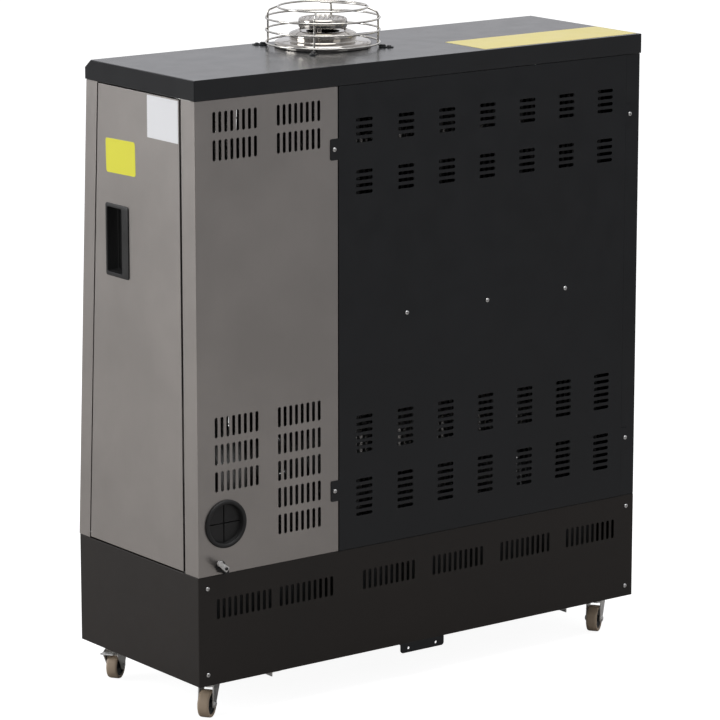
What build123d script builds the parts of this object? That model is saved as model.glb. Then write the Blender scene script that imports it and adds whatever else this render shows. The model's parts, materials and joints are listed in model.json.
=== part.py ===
from build123d import *
from math import atan, cos, degrees, pi, radians, sin
import os

# Infrared oil heater, in millimetres, +Z up.
# The origin is on the floor under the middle of the heater.
# The front, with the emitter window, faces -Y, and the service door is on the +X side.
# On the back, u runs from the door-side corner towards the far side, and z starts at the base's underside.
# On the door side, v runs from the back towards the front.

os.makedirs("parts", exist_ok=True)

# Overall sizes
body_width = 1000.0
base_depth = 384.0
base_height = 199.0
shell_height = 841.5
shell_depth_top = 337.5
lid_height = 36.0
lid_overhang = 1.8
wheel_radius = 25.0
castor_rise = 20.0

# Sheet metal and clearances
sheet = 1.5
thin_sheet = 1.2
seam = 0.8
fit_gap = 0.3
running_gap = 0.05
screw_gap = 0.3

# Service bay and far side
bay_width = 304.0
far_strip = 33.0
side_return = 42.0
front_return = 35.0
flange = 30.0
small_flange = 14.0

# Door
door_gap = 3.0
door_rear_gap = 5.5
door_pan = 16.0
pull_width = 72.0
pull_height = 131.0
pull_v = 243.0
pull_z = 763.0
pull_proud = 2.2
pull_depth = 22.0
grip_width = 45.5
grip_height = 116.0
grip_v = 250.7
hinge_pin_radius = 3.0
hinge_inset = 8.0
hinge_edge = 6.0

# Emitter
tube_radius = 30.0
tube_wall = 1.5
tube_pitch = 95.0
tube_passes = 6
tube_rise = 131.0
tube_far_gap = 117.0
tube_bend_inset = 25.0
flue_inset = 126.0
flue_y = -24.0
window_rise = 76.0
window_drop = 75.5
window_margin = 12.0

# Castors
wheel_width = 21.0
castor_trail = 12.0
castor_yaw = 36.0
castor_inset_x = 51.0
castor_inset_y = 45.0
axle_radius = 3.0
kingpin_radius = 5.0
fork_gap = 25.0
fork_leg = 2.2

# Screws
screw_radius = 2.0
head_radius = 4.0
head_height = 2.4
head_round = 1.2

# Places worked out from the sizes above
half_width = body_width / 2
back_y = base_depth / 2
castor_height = 2 * wheel_radius + castor_rise
deck_z = castor_height + base_height
lid_z = deck_z + shell_height
top_z = lid_z + lid_height
bay_x = half_width - bay_width
far_x = -half_width + far_strip
flue_x = bay_x - flue_inset
tube_first_z = deck_z + tube_rise
tube_bend_x = flue_x - tube_bend_inset
tube_far_x = far_x + tube_far_gap
window_low = deck_z + window_rise
window_high = lid_z - window_drop
lean = (base_depth - shell_depth_top) / shell_height
lean_angle = degrees(atan(lean))
slope_length = shell_height / cos(radians(lean_angle))


def front_y(z):
    """Outer face of the leaning front at height z."""
    return -back_y + lean * (z - deck_z)


# Planes whose x and y run as u and z on the back, and as -v and z on the door side
rear = Plane(origin=(half_width, back_y, castor_height), x_dir=(-1, 0, 0), z_dir=(0, 1, 0))
side = Plane(origin=(half_width, back_y, castor_height), x_dir=(0, 1, 0), z_dir=(1, 0, 0))
# Plane on the leaning front, x along +X and y up the slope from the deck
front_normal = (0, -cos(radians(lean_angle)), sin(radians(lean_angle)))
front = Plane(origin=(0, -back_y, deck_z), x_dir=(1, 0, 0), z_dir=front_normal)


def block(x0, x1, y0, y1, z0, z1, mode=Mode.ADD):
    """A box between two corners, for the part being built."""
    with Locations(((x0 + x1) / 2, (y0 + y1) / 2, (z0 + z1) / 2)):
        Box(x1 - x0, y1 - y0, z1 - z0, mode=mode)


def upright(x, y, z0, z1, radius, mode=Mode.ADD):
    """A vertical cylinder from z0 to z1."""
    with Locations((x, y, (z0 + z1) / 2)):
        Cylinder(radius, z1 - z0, mode=mode)


def crosswise(x0, x1, y, z, radius, mode=Mode.ADD):
    """A cylinder along X from x0 to x1."""
    with Locations(((x0 + x1) / 2, y, z)):
        Cylinder(radius, x1 - x0, rotation=(0, 90, 0), mode=mode)


def lengthwise(x, y0, y1, z, radius, mode=Mode.ADD):
    """A cylinder along Y from y0 to y1."""
    with Locations((x, (y0 + y1) / 2, z)):
        Cylinder(radius, y1 - y0, rotation=(90, 0, 0), mode=mode)


def save(piece, label):
    """Label a finished piece and write it."""
    piece.part.label = label
    export_step(piece.part, "parts/" + label + ".step")


# Slots and screws on the back
slot_long = 36.5
slot_wide = 6.4
slot_pitch = 12.4
base_slot_z = 137.3
base_slot_starts = (41.0, 177.0, 362.0, 521.0, 680.0, 838.0)
base_slot_count = 10
base_screw_inset = 18.2
base_screw_low = 20.5
base_screw_high = base_height - 21.5
panel_slot_groups = (
    (83.4, 1001.0, 8, 1),
    (83.4, 952.0, 8, 1),
    (218.8, 1001.0, 8, 1),
    (218.8, 952.0, 8, 1),
    (83.0, 415.7, 8, 3),
    (218.2, 367.2, 8, 5),
)
panel_row_pitch = 48.7
louvre_columns = 7
louvre_column_pitch = 92.5
louvre_group_rows = ((958.2, 4), (866.0, 4), (409.0, 6), (292.5, 6))
tab_width = 18.0
tab_height = 38.0
tab_centres = (929.0, 312.0)
tab_screw_inset = 9.0
middle_screws = (456.0, 640.5, 824.3)
middle_screw_z = 617.7

# Base tray: the black skirt with its floor, open at the back and on top inside its flanges
inner_back = back_y - sheet
tray_hinge_hole = 6.0
hinge_x = half_width - hinge_inset
hinge_y = back_y - side_return - door_rear_gap - hinge_edge
corner_radius = 4.0
with BuildPart() as base_tray:
    block(-half_width, half_width, -back_y, inner_back, castor_height, deck_z)
    fillet(base_tray.edges().filter_by(Axis.Z).group_by(Axis.Y)[0], radius=corner_radius)
    block(
        -half_width + sheet, half_width - sheet, -back_y + sheet, inner_back - sheet,
        castor_height + sheet, deck_z - sheet, Mode.SUBTRACT,
    )
    block(
        -half_width + flange, half_width - flange, inner_back - 2 * sheet, inner_back + 1,
        castor_height + small_flange, deck_z - sheet, Mode.SUBTRACT,
    )
    block(
        -half_width + flange, half_width - flange, -back_y + flange, inner_back + 1,
        deck_z - 2 * sheet, deck_z + 1, Mode.SUBTRACT,
    )
    upright(hinge_x, hinge_y, deck_z - 2 * sheet, deck_z + 1, tray_hinge_hole, Mode.SUBTRACT)
    with BuildSketch(rear):
        for u in (base_screw_inset, body_width - base_screw_inset):
            with Locations((u, base_screw_low), (u, base_screw_high)):
                Circle(screw_radius + screw_gap)
    extrude(amount=-2 * sheet - 1, mode=Mode.SUBTRACT)
save(base_tray, "base_tray")

# Base rear panel: flat sheet with six groups of upright slots
with BuildPart() as base_rear_panel:
    with BuildSketch(rear):
        with Locations((half_width, base_height / 2)):
            Rectangle(body_width, base_height)
        for u in base_slot_starts:
            group_centre = u + slot_pitch * (base_slot_count - 1) / 2
            with Locations((group_centre, base_slot_z)):
                with GridLocations(slot_pitch, slot_pitch, base_slot_count, 1):
                    SlotOverall(slot_long, slot_wide, rotation=90, mode=Mode.SUBTRACT)
        for u in (base_screw_inset, body_width - base_screw_inset):
            with Locations((u, base_screw_low), (u, base_screw_high)):
                Circle(screw_radius + screw_gap, mode=Mode.SUBTRACT)
    extrude(amount=-sheet)
save(base_rear_panel, "base_rear_panel")

# Deck: the plate that carries the shell's insides, on the tray's flanges
filler_x = half_width - 90.0
filler_y = back_y - 87.0
neck_radius = 28.0
deck_inset = 22.0
deck_rear_gap = 2.0
neck_play = 3.0
neck_wall = 2.0
gauge_x = half_width - 165.0
gauge_y = back_y - 74.0
gauge_radius = 16.0
gauge_play = 1.0
line_x = half_width - 240.0
line_y = -back_y + 72.0
line_hole = 8.0
with BuildPart() as base_deck:
    block(
        -half_width + deck_inset, half_width - deck_inset, -back_y + deck_inset,
        inner_back - small_flange - deck_rear_gap, deck_z, deck_z + sheet,
    )
    upright(
        filler_x, filler_y, deck_z - 1, deck_z + 2 * sheet, neck_radius + neck_play, Mode.SUBTRACT,
    )
    upright(
        gauge_x, gauge_y, deck_z - 1, deck_z + 2 * sheet, gauge_radius + gauge_play, Mode.SUBTRACT,
    )
    upright(line_x, line_y, deck_z - 1, deck_z + 2 * sheet, line_hole, Mode.SUBTRACT)
save(base_deck, "base_deck")

# Two stiffener angles under the tray, front to back
stiffener_x = half_width - 159.0
stiffener_inset = 4.0
stiffener_drop = 9.0
stiffener_flange = 20.0
stiffener_sheet = 2.0
with BuildPart() as base_stiffeners:
    for x in (-stiffener_x, stiffener_x):
        inward = -1 if x > 0 else 1
        block(
            x - stiffener_sheet / 2, x + stiffener_sheet / 2, -back_y + stiffener_inset,
            back_y - stiffener_inset, castor_height - stiffener_drop, castor_height,
        )
        block(
            min(x, x + inward * stiffener_flange), max(x, x + inward * stiffener_flange),
            -back_y + stiffener_inset, back_y - stiffener_inset,
            castor_height - stiffener_sheet, castor_height,
        )
save(base_stiffeners, "base_stiffeners")

# Anchor bracket: a folded strap under the back edge with two bolt holes
bracket_x = 5.0
bracket_width = 99.4
bracket_drop = 18.0
bracket_reach = 40.0
bracket_sheet = 2.0
bracket_hole_radius = 2.75
bracket_hole_spacing = 63.0
bracket_hole_drop = 10.0
bracket_corner = 6.0
with BuildPart() as anchor_bracket:
    block(
        bracket_x - bracket_width / 2, bracket_x + bracket_width / 2, back_y - bracket_sheet, back_y,
        castor_height - bracket_drop, castor_height,
    )
    fillet(anchor_bracket.edges().filter_by(Axis.Y).group_by(Axis.Z)[0], radius=bracket_corner)
    block(
        bracket_x - bracket_width / 2, bracket_x + bracket_width / 2, back_y - bracket_reach, back_y,
        castor_height - bracket_sheet, castor_height,
    )
    for x in (bracket_x - bracket_hole_spacing / 2, bracket_x + bracket_hole_spacing / 2):
        lengthwise(
            x, back_y - bracket_sheet - 1, back_y + 1, castor_height - bracket_hole_drop,
            bracket_hole_radius, Mode.SUBTRACT,
        )
save(anchor_bracket, "anchor_bracket")

# Fuel tank: hollow, on the tray's floor, with holes for the neck, gauge and line
tank_wall = 2.0
tank_half_width = half_width - 45.0
tank_front = -back_y + 27.0
tank_rear = back_y - 42.0
tank_corner = 24.0
tank_floor = castor_height + sheet
tank_top = deck_z - 26.0
gauge_stem = 6.0
line_radius = 3.0
with BuildPart() as fuel_tank:
    block(-tank_half_width, tank_half_width, tank_front, tank_rear, tank_floor, tank_top)
    fillet(fuel_tank.edges().filter_by(Axis.Z), radius=tank_corner)
    block(
        -tank_half_width + tank_wall, tank_half_width - tank_wall, tank_front + tank_wall,
        tank_rear - tank_wall, tank_floor + tank_wall, tank_top - tank_wall, Mode.SUBTRACT,
    )
    upright(
        filler_x, filler_y, tank_top - 2 * tank_wall, tank_top + 1, neck_radius - neck_wall,
        Mode.SUBTRACT,
    )
    upright(
        gauge_x, gauge_y, tank_top - 2 * tank_wall, tank_top + 1, gauge_stem + fit_gap, Mode.SUBTRACT,
    )
    upright(
        line_x, line_y, tank_top - 2 * tank_wall, tank_top + 1, line_radius + fit_gap, Mode.SUBTRACT,
    )
save(fuel_tank, "fuel_tank")

# Filler neck: flanged tube from the tank through the deck
neck_top = deck_z + 34.0
neck_flange = 14.0
neck_flange_sheet = 3.0
with BuildPart() as filler_neck:
    upright(filler_x, filler_y, tank_top, tank_top + neck_flange_sheet, neck_radius + neck_flange)
    upright(filler_x, filler_y, tank_top, neck_top, neck_radius)
    upright(filler_x, filler_y, tank_top - 1, neck_top + 1, neck_radius - neck_wall, Mode.SUBTRACT)
save(filler_neck, "filler_neck")

# Fuel cap: a knurled lid over the neck, which lifts off
cap_height = 24.0
cap_wall = 3.0
cap_radius = neck_radius + fit_gap + cap_wall
cap_ribs = 24
cap_rib_radius = 1.6
with BuildPart() as fuel_cap:
    cap_floor = neck_top + fit_gap
    upright(filler_x, filler_y, neck_top - cap_height + cap_wall, cap_floor + cap_wall, cap_radius)
    with Locations((filler_x, filler_y, 0)):
        with PolarLocations(cap_radius, cap_ribs):
            with Locations((0, 0, cap_floor - cap_height / 2 + cap_wall)):
                Cylinder(cap_rib_radius, cap_height - cap_wall)
    upright(
        filler_x, filler_y, neck_top - cap_height, cap_floor, neck_radius + fit_gap, Mode.SUBTRACT,
    )
    fillet(fuel_cap.faces().sort_by(Axis.Z)[-1].edges(), radius=1)
save(fuel_cap, "fuel_cap")

# Fuel gauge: float stem with a round dial head, on the tank
gauge_foot = 4.0
gauge_rise = 22.0
gauge_rim = 3.0
stem_clearance = 20.0
with BuildPart() as fuel_gauge:
    upright(gauge_x, gauge_y, tank_floor + stem_clearance, tank_top + gauge_foot, gauge_stem)
    upright(gauge_x, gauge_y, tank_top, tank_top + gauge_foot, gauge_radius - 2)
    upright(gauge_x, gauge_y, tank_top + gauge_foot, deck_z + gauge_rise, gauge_radius)
    upright(
        gauge_x, gauge_y, deck_z + gauge_rise - 2, deck_z + gauge_rise + 1, gauge_radius - gauge_rim,
        Mode.SUBTRACT,
    )
save(fuel_gauge, "fuel_gauge")

# Stainless rear panel with its slots, side return and inner flanges
grommet_u = 58.0
grommet_z = 289.5
grommet_hole = 37.0
rear_low = deck_z + seam
rear_high = lid_z - seam
cock_u = 46.0
cock_z = 214.0
cock_stem = 6.0
fold_radius = 1.2
with BuildPart() as rear_panel:
    block(bay_x, half_width, back_y - sheet, back_y, rear_low, rear_high)
    block(half_width - sheet, half_width, back_y - side_return, back_y, rear_low, rear_high)
    rear_edges = rear_panel.edges().filter_by(Axis.Z).group_by(Axis.Y)[-1].sort_by(Axis.X)
    fillet(rear_edges[-1], radius=fold_radius)
    block(bay_x, bay_x + sheet, back_y - small_flange, back_y, rear_low, rear_high)
    block(
        half_width - flange, half_width - sheet / 2, back_y - side_return, back_y - sheet / 2,
        rear_high - sheet, rear_high,
    )
    block(
        half_width - flange, half_width - sheet / 2, inner_back - small_flange, back_y - sheet / 2,
        rear_low, rear_low + sheet,
    )
    with BuildSketch(rear):
        for u, z, count, rows in panel_slot_groups:
            with Locations((u, z)):
                with GridLocations(slot_pitch, panel_row_pitch, count, rows):
                    SlotOverall(slot_long, slot_wide, rotation=90)
        with Locations((grommet_u, grommet_z)):
            Circle(grommet_hole)
        with Locations((cock_u, cock_z)):
            Circle(cock_stem + fit_gap)
    extrude(amount=-sheet - 1, mode=Mode.SUBTRACT)
    with BuildSketch(rear):
        for z in tab_centres:
            with Locations((bay_width - tab_screw_inset, z)):
                Circle(screw_radius + screw_gap)
    extrude(amount=-sheet - 1, mode=Mode.SUBTRACT)
save(rear_panel, "rear_panel")

# Far side panel: black, with a rear return beside the cover
with BuildPart() as far_side_panel:
    with BuildSketch(Plane.YZ.offset(-half_width)):
        with BuildLine():
            Polyline(
                (front_y(rear_low) + front_return + door_gap, rear_low),
                (back_y, rear_low),
                (back_y, rear_high),
                (front_y(rear_high) + front_return + door_gap, rear_high),
                close=True,
            )
        make_face()
    extrude(amount=sheet)
    block(-half_width, far_x, back_y - sheet, back_y, rear_low, rear_high)
    side_edges = far_side_panel.edges().filter_by(Axis.Z).group_by(Axis.Y)[-1].sort_by(Axis.X)
    fillet(side_edges[0], radius=fold_radius)
    block(far_x - sheet, far_x, back_y - small_flange, back_y, rear_low, rear_high)
    with BuildSketch(rear):
        for z in tab_centres:
            with Locations((body_width - far_strip + tab_screw_inset, z)):
                Circle(screw_radius + screw_gap)
    extrude(amount=-sheet - 1, mode=Mode.SUBTRACT)
save(far_side_panel, "far_side_panel")

# Rear cover: black sheet on the back plane with four tabs and the louvre slots
cover_sheet = 1.2
cover_u0 = bay_width + seam
cover_u1 = body_width - far_strip - seam
cover_z0 = base_height + seam
cover_z1 = base_height + shell_height - seam
cover_hem = 10.0
louvre_shift = 3.0
tab_corner = 3.0
with BuildPart() as rear_cover:
    with BuildSketch(rear):
        with Locations(((cover_u0 + cover_u1) / 2, (cover_z0 + cover_z1) / 2)):
            Rectangle(cover_u1 - cover_u0, cover_z1 - cover_z0)
        for z in tab_centres:
            with Locations((cover_u0 - tab_width / 2 + 1, z), (cover_u1 + tab_width / 2 - 1, z)):
                RectangleRounded(tab_width + 2, tab_height, tab_corner)
        for z, rows in louvre_group_rows:
            with Locations(((cover_u0 + cover_u1) / 2 + louvre_shift, z)):
                with GridLocations(louvre_column_pitch, slot_pitch, louvre_columns, rows):
                    SlotOverall(slot_long, slot_wide, mode=Mode.SUBTRACT)
        for z in tab_centres:
            with Locations(
                (bay_width - tab_screw_inset, z), (body_width - far_strip + tab_screw_inset, z),
            ):
                Circle(screw_radius + screw_gap, mode=Mode.SUBTRACT)
        with Locations(*[(u, middle_screw_z) for u in middle_screws]):
            Circle(screw_radius + screw_gap, mode=Mode.SUBTRACT)
    extrude(amount=cover_sheet)
    block(
        bay_x - seam - cover_sheet, bay_x - seam, back_y - cover_hem, back_y,
        castor_height + cover_z0, castor_height + cover_z1,
    )
    block(
        far_x + seam, far_x + seam + cover_sheet, back_y - cover_hem, back_y,
        castor_height + cover_z0, castor_height + cover_z1,
    )
save(rear_cover, "rear_cover")


def back_screws(places, face):
    """Pan head screws on the back, with their heads on the face that far outside the back plane."""
    for u, z in places:
        x = half_width - u
        level = castor_height + z
        lengthwise(x, back_y - 2 * sheet, back_y + face + head_height, level, screw_radius)
        lengthwise(x, back_y + face, back_y + face + head_height, level, head_radius)


cover_screw_places = [(u, middle_screw_z) for u in middle_screws]
for z in tab_centres:
    cover_screw_places.append((bay_width - tab_screw_inset, z))
    cover_screw_places.append((body_width - far_strip + tab_screw_inset, z))
base_screw_places = []
for u in (base_screw_inset, body_width - base_screw_inset):
    base_screw_places.append((u, base_screw_low))
    base_screw_places.append((u, base_screw_high))
with BuildPart() as cover_screws:
    back_screws(cover_screw_places, cover_sheet)
    fillet(cover_screws.faces().filter_by(Axis.Y).group_by(Axis.Y)[-1].edges(), radius=head_round)
save(cover_screws, "cover_screws")
with BuildPart() as base_screws:
    back_screws(base_screw_places, 0)
    fillet(base_screws.faces().filter_by(Axis.Y).group_by(Axis.Y)[-1].edges(), radius=head_round)
save(base_screws, "base_screws")

# Front panel: leaning stainless sheet with side returns, the emitter window and the control cut-out
control_x = half_width - 152.0
control_s = 650.0
control_width = 232.0
control_height = 190.0
control_lip = 6.0
window_corner = 8.0
control_corner = 4.0
window_x0 = far_x + window_margin
window_x1 = bay_x - window_margin
window_s0 = (window_low - deck_z) / cos(radians(lean_angle))
window_s1 = (window_high - deck_z) / cos(radians(lean_angle))
window_middle = ((window_x0 + window_x1) / 2, (window_s0 + window_s1) / 2)
with BuildPart() as front_panel:
    with BuildSketch(front):
        with Locations((0, slope_length / 2)):
            Rectangle(body_width, slope_length - 2 * seam)
        with Locations(window_middle):
            RectangleRounded(
                window_x1 - window_x0, window_s1 - window_s0, window_corner, mode=Mode.SUBTRACT
            )
        with Locations((control_x, control_s)):
            RectangleRounded(control_width, control_height, control_corner, mode=Mode.SUBTRACT)
    extrude(amount=-sheet)
    for x in (-half_width, half_width - sheet):
        with BuildSketch(Plane.YZ.offset(x)):
            with BuildLine():
                Polyline(
                    (front_y(rear_low), rear_low),
                    (front_y(rear_low) + front_return, rear_low),
                    (front_y(rear_high) + front_return, rear_high),
                    (front_y(rear_high), rear_high),
                    close=True,
                )
            make_face()
        extrude(amount=sheet)
save(front_panel, "front_panel")

# Emitter window guard: framed wires that stand off the front
guard_standoff = 20.0
guard_wire = 1.6
guard_frame = 3.0
guard_rail = 2.8
guard_foot = 2.5
guard_pitch = 23.0
guard_margin = 16.0
guard_door_gap = 8.0
guard_rods = (-0.62, 0.0, 0.62)
guard_x0 = window_x0 - guard_margin
guard_x1 = window_x1 + guard_margin - guard_door_gap
guard_s0 = window_s0 - guard_margin
guard_s1 = window_s1 + guard_margin
guard_mid_x = (guard_x0 + guard_x1) / 2
guard_mid_s = (guard_s0 + guard_s1) / 2
guard_plane = front.offset(guard_standoff)
with BuildPart() as front_guard:
    wires = int((guard_s1 - guard_s0) / guard_pitch)
    for i in range(wires + 1):
        s = guard_s0 + i * (guard_s1 - guard_s0) / wires
        start = guard_plane.from_local_coords((guard_x0, s, 0))
        radius = guard_rail if i in (0, wires) else guard_wire
        with BuildSketch(Plane(origin=start, x_dir=(0, 1, 0), z_dir=(1, 0, 0))):
            Circle(radius)
        extrude(amount=guard_x1 - guard_x0)
    uprights = [(guard_x0, guard_frame), (guard_x1, guard_frame)]
    for share in guard_rods:
        uprights.append((guard_mid_x + share * (guard_x1 - guard_x0) / 2, guard_wire))
    for x, radius in uprights:
        start = guard_plane.from_local_coords((x, guard_s0, 0))
        with BuildSketch(Plane(origin=start, x_dir=(1, 0, 0), z_dir=guard_plane.y_dir)):
            Circle(radius)
        extrude(amount=guard_s1 - guard_s0)
    for x in (guard_x0, guard_x1):
        for s in (guard_s0, guard_mid_s, guard_s1):
            start = front.from_local_coords((x, s, 0))
            with BuildSketch(Plane(origin=start, x_dir=(1, 0, 0), z_dir=front_normal)):
                Circle(guard_foot)
            extrude(amount=guard_standoff)
save(front_guard, "front_guard")

# Top lid: a pan with a chamfered front edge, and a hole for the flue
lid_front_y = front_y(lid_z)
lid_sheet = 1.5
lid_chamfer_y = 19.2
lid_chamfer_z = 14.7
sleeve_wall = 2.0
sleeve_radius = tube_radius + fit_gap + sleeve_wall
drum_radius = 61.0
lid_hole = 45.0
lid_rail = 12.0


def lid_profile(inset):
    """Side outline of the lid, drawn in by the inset except along its open underside."""
    low = lid_z if inset == 0 else lid_z - 1
    back = back_y + lid_overhang - inset
    ahead = lid_front_y - lid_overhang + inset
    high = top_z - inset
    Polyline(
        (back, low), (back, high), (ahead + lid_chamfer_y, high),
        (ahead, high - lid_chamfer_z), (ahead, low), close=True,
    )


with BuildPart() as top_lid:
    with BuildSketch(Plane.YZ.offset(-half_width - lid_overhang)):
        with BuildLine():
            lid_profile(0)
        make_face()
    extrude(amount=body_width + 2 * lid_overhang)
    with BuildSketch(Plane.YZ.offset(-half_width - lid_overhang + lid_sheet)):
        with BuildLine():
            lid_profile(lid_sheet)
        make_face()
    extrude(amount=body_width + 2 * lid_overhang - 2 * lid_sheet, mode=Mode.SUBTRACT)
    upright(flue_x, flue_y, lid_z, top_z + 1, lid_hole, Mode.SUBTRACT)
    # Inner rail along both long edges, by which the lid rests on the shell
    for y0, y1 in (
        (back_y - lid_rail, back_y + lid_overhang - lid_sheet / 2),
        (lid_front_y - lid_overhang + lid_sheet / 2, lid_front_y + lid_rail),
    ):
        block(-half_width, half_width, y0, y1, lid_z, lid_z + lid_sheet)
save(top_lid, "top_lid")

# Pale label plate on the lid, blank
label_sheet = 0.3
label_length = 360.0
label_width = 118.0
label_inset = 7.0
label_x0 = -half_width + 2.0
with BuildPart() as lid_label:
    block(
        label_x0, label_x0 + label_length, back_y - label_inset - label_width, back_y - label_inset,
        top_z, top_z + label_sheet,
    )
save(lid_label, "lid_label")

# Bulkhead between the heating chamber and the service bay
blast_radius = tube_radius + fit_gap + 3.0
blast_x = bay_x + 104.0
bulkhead_inset = 22.0
bulkhead_gap = 4.0
with BuildPart() as bulkhead:
    with BuildSketch(Plane.YZ.offset(bay_x - bulkhead_inset)):
        with BuildLine():
            Polyline(
                (front_y(deck_z) + 6, deck_z + sheet),
                (inner_back - small_flange - bulkhead_gap, deck_z + sheet),
                (inner_back - small_flange - bulkhead_gap, lid_z - 2 * sheet),
                (front_y(lid_z) + 4, lid_z - 2 * sheet),
                close=True,
            )
        make_face()
    extrude(amount=sheet)
    block(
        bay_x - bulkhead_inset, bay_x + 2, front_y(deck_z) + 26, inner_back - small_flange - bulkhead_gap,
        deck_z + sheet, deck_z + 2 * sheet,
    )
    crosswise(bay_x - 30, bay_x, flue_y, tube_first_z, blast_radius + fit_gap, Mode.SUBTRACT)
save(bulkhead, "bulkhead")

# Slotted inner back plate behind the louvres
plate_y = back_y - 28.0
plate_x0 = far_x + 10.0
plate_x1 = bay_x - bulkhead_inset - 2.0
plate_flange = 14.0
plate_low = deck_z + sheet
plate_high = lid_z - 4.0
plate_middle = (plate_low + plate_high) / 2 - castor_height
plate_rib = 10.0
plate_slot = 118.0
plate_bands = ((958.2 + 866.0) / 2, (409.0 + 292.5) / 2)
with BuildPart() as inner_back_plate:
    with BuildSketch(Plane(origin=(0, plate_y, castor_height), x_dir=(-1, 0, 0), z_dir=(0, 1, 0))):
        with Locations((-(plate_x0 + plate_x1) / 2, plate_middle)):
            Rectangle(plate_x1 - plate_x0, plate_high - plate_low)
        slots = int((plate_x1 - plate_x0 - 30) / slot_pitch)
        for z in plate_bands:
            for side_shift in (-(plate_slot + plate_rib) / 2, (plate_slot + plate_rib) / 2):
                with Locations((-(plate_x0 + plate_x1) / 2, z + side_shift)):
                    with GridLocations(slot_pitch, slot_pitch, slots, 1):
                        SlotOverall(plate_slot, slot_wide, rotation=90, mode=Mode.SUBTRACT)
    extrude(amount=-thin_sheet)
    for x0, x1 in ((plate_x0, plate_x0 + thin_sheet), (plate_x1 - thin_sheet, plate_x1)):
        block(x0, x1, plate_y - plate_flange, plate_y, plate_low, plate_high)
    block(plate_x0, plate_x1, plate_y - plate_flange, plate_y, plate_low, plate_low + thin_sheet)
save(inner_back_plate, "inner_back_plate")

# Reflector: bright trough behind the emitter tubes, flared towards the window
reflector_back = 58.0
reflector_knee = 20.0
reflector_slope = 40.0
reflector_foot = 30.0
reflector_x0 = plate_x0
reflector_x1 = plate_x1
reflector_low = window_low - 12
reflector_high = window_high + 16


def reflector_profile(inset):
    """Outline of the trough in Y and Z, drawn in by the inset and open at the front."""
    reach = 8 if inset == 0 else -40
    Polyline(
        (front_y(reflector_low) + reach, reflector_low + inset),
        (reflector_knee, reflector_low + inset),
        (reflector_back - inset, reflector_low + reflector_slope + inset / 2),
        (reflector_back - inset, reflector_high - reflector_slope - inset / 2),
        (reflector_knee, reflector_high - inset),
        (front_y(reflector_high) + reach, reflector_high - inset),
        close=True,
    )


with BuildPart() as reflector:
    with BuildSketch(Plane.YZ.offset(reflector_x0)):
        with BuildLine():
            reflector_profile(0)
        make_face()
    extrude(amount=reflector_x1 - reflector_x0)
    with BuildSketch(Plane.YZ.offset(reflector_x0 + thin_sheet)):
        with BuildLine():
            reflector_profile(thin_sheet)
        make_face()
    extrude(amount=reflector_x1 - reflector_x0 - 2 * thin_sheet, mode=Mode.SUBTRACT)
    upright(flue_x, flue_y, reflector_high - 10, reflector_high + 10, tube_radius + 2, Mode.SUBTRACT)
    crosswise(
        reflector_x1 - 10, reflector_x1 + 10, flue_y, tube_first_z, blast_radius + 1, Mode.SUBTRACT,
    )
    # Two feet that carry the trough on the deck
    for x in (reflector_x0 + 60, reflector_x1 - 60):
        foot_x0 = x - reflector_foot / 2
        foot_x1 = x + reflector_foot / 2
        block(
            foot_x0, foot_x1, reflector_knee - thin_sheet, reflector_knee, deck_z + sheet,
            reflector_low + thin_sheet / 2,
        )
        block(foot_x0, foot_x1, 0, reflector_knee, deck_z + sheet, deck_z + 2 * sheet)
save(reflector, "reflector")

# Emitter tubes: one long tube in six passes that turns up into the flue
bend = tube_pitch / 2
elbow = 60.0
last_z = tube_first_z + (tube_passes - 1) * tube_pitch
riser_top = top_z + 2.0
emitter_plane = Plane.XZ.offset(-flue_y)
tube_start = bay_x - 14.0
with BuildPart() as emitter_tubes:
    with BuildLine(emitter_plane) as tube_path:
        Line((tube_start, tube_first_z), (tube_far_x, tube_first_z))
        for i in range(1, tube_passes):
            low = tube_first_z + (i - 1) * tube_pitch
            at_far = i % 2 == 1
            x = tube_far_x if at_far else tube_bend_x
            tip = x - bend if at_far else x + bend
            ThreePointArc((x, low), (tip, low + bend), (x, low + tube_pitch))
            if i < tube_passes - 1:
                other = tube_bend_x if at_far else tube_far_x
                Line((x, low + tube_pitch), (other, low + tube_pitch))
        Line((tube_far_x, last_z), (flue_x - elbow, last_z))
        ThreePointArc(
            (flue_x - elbow, last_z),
            (flue_x - elbow + elbow * sin(pi / 4), last_z + elbow * (1 - cos(pi / 4))),
            (flue_x, last_z + elbow),
        )
        Line((flue_x, last_z + elbow), (flue_x, riser_top))
    with BuildSketch(Plane(origin=(tube_start, flue_y, tube_first_z), z_dir=(-1, 0, 0))):
        Circle(tube_radius)
        Circle(tube_radius - tube_wall, mode=Mode.SUBTRACT)
    sweep()
save(emitter_tubes, "emitter_tubes")

# Two straps that hold the tubes off the reflector
strap_width = 24.0
strap_sheet = 3.0
strap_post = 6.0
strap_end = 20.0
with BuildPart() as tube_brackets:
    for x in (tube_far_x + 40, flue_x - elbow - 60):
        strap_y = flue_y + tube_radius
        block(
            x - strap_width / 2, x + strap_width / 2, strap_y, strap_y + strap_sheet,
            tube_first_z - strap_end, last_z + strap_end,
        )
        for z in (tube_first_z + tube_pitch / 2, last_z - tube_pitch / 2):
            lengthwise(x, strap_y + strap_sheet, reflector_back - thin_sheet, z, strap_post)
save(tube_brackets, "tube_brackets")

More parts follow.
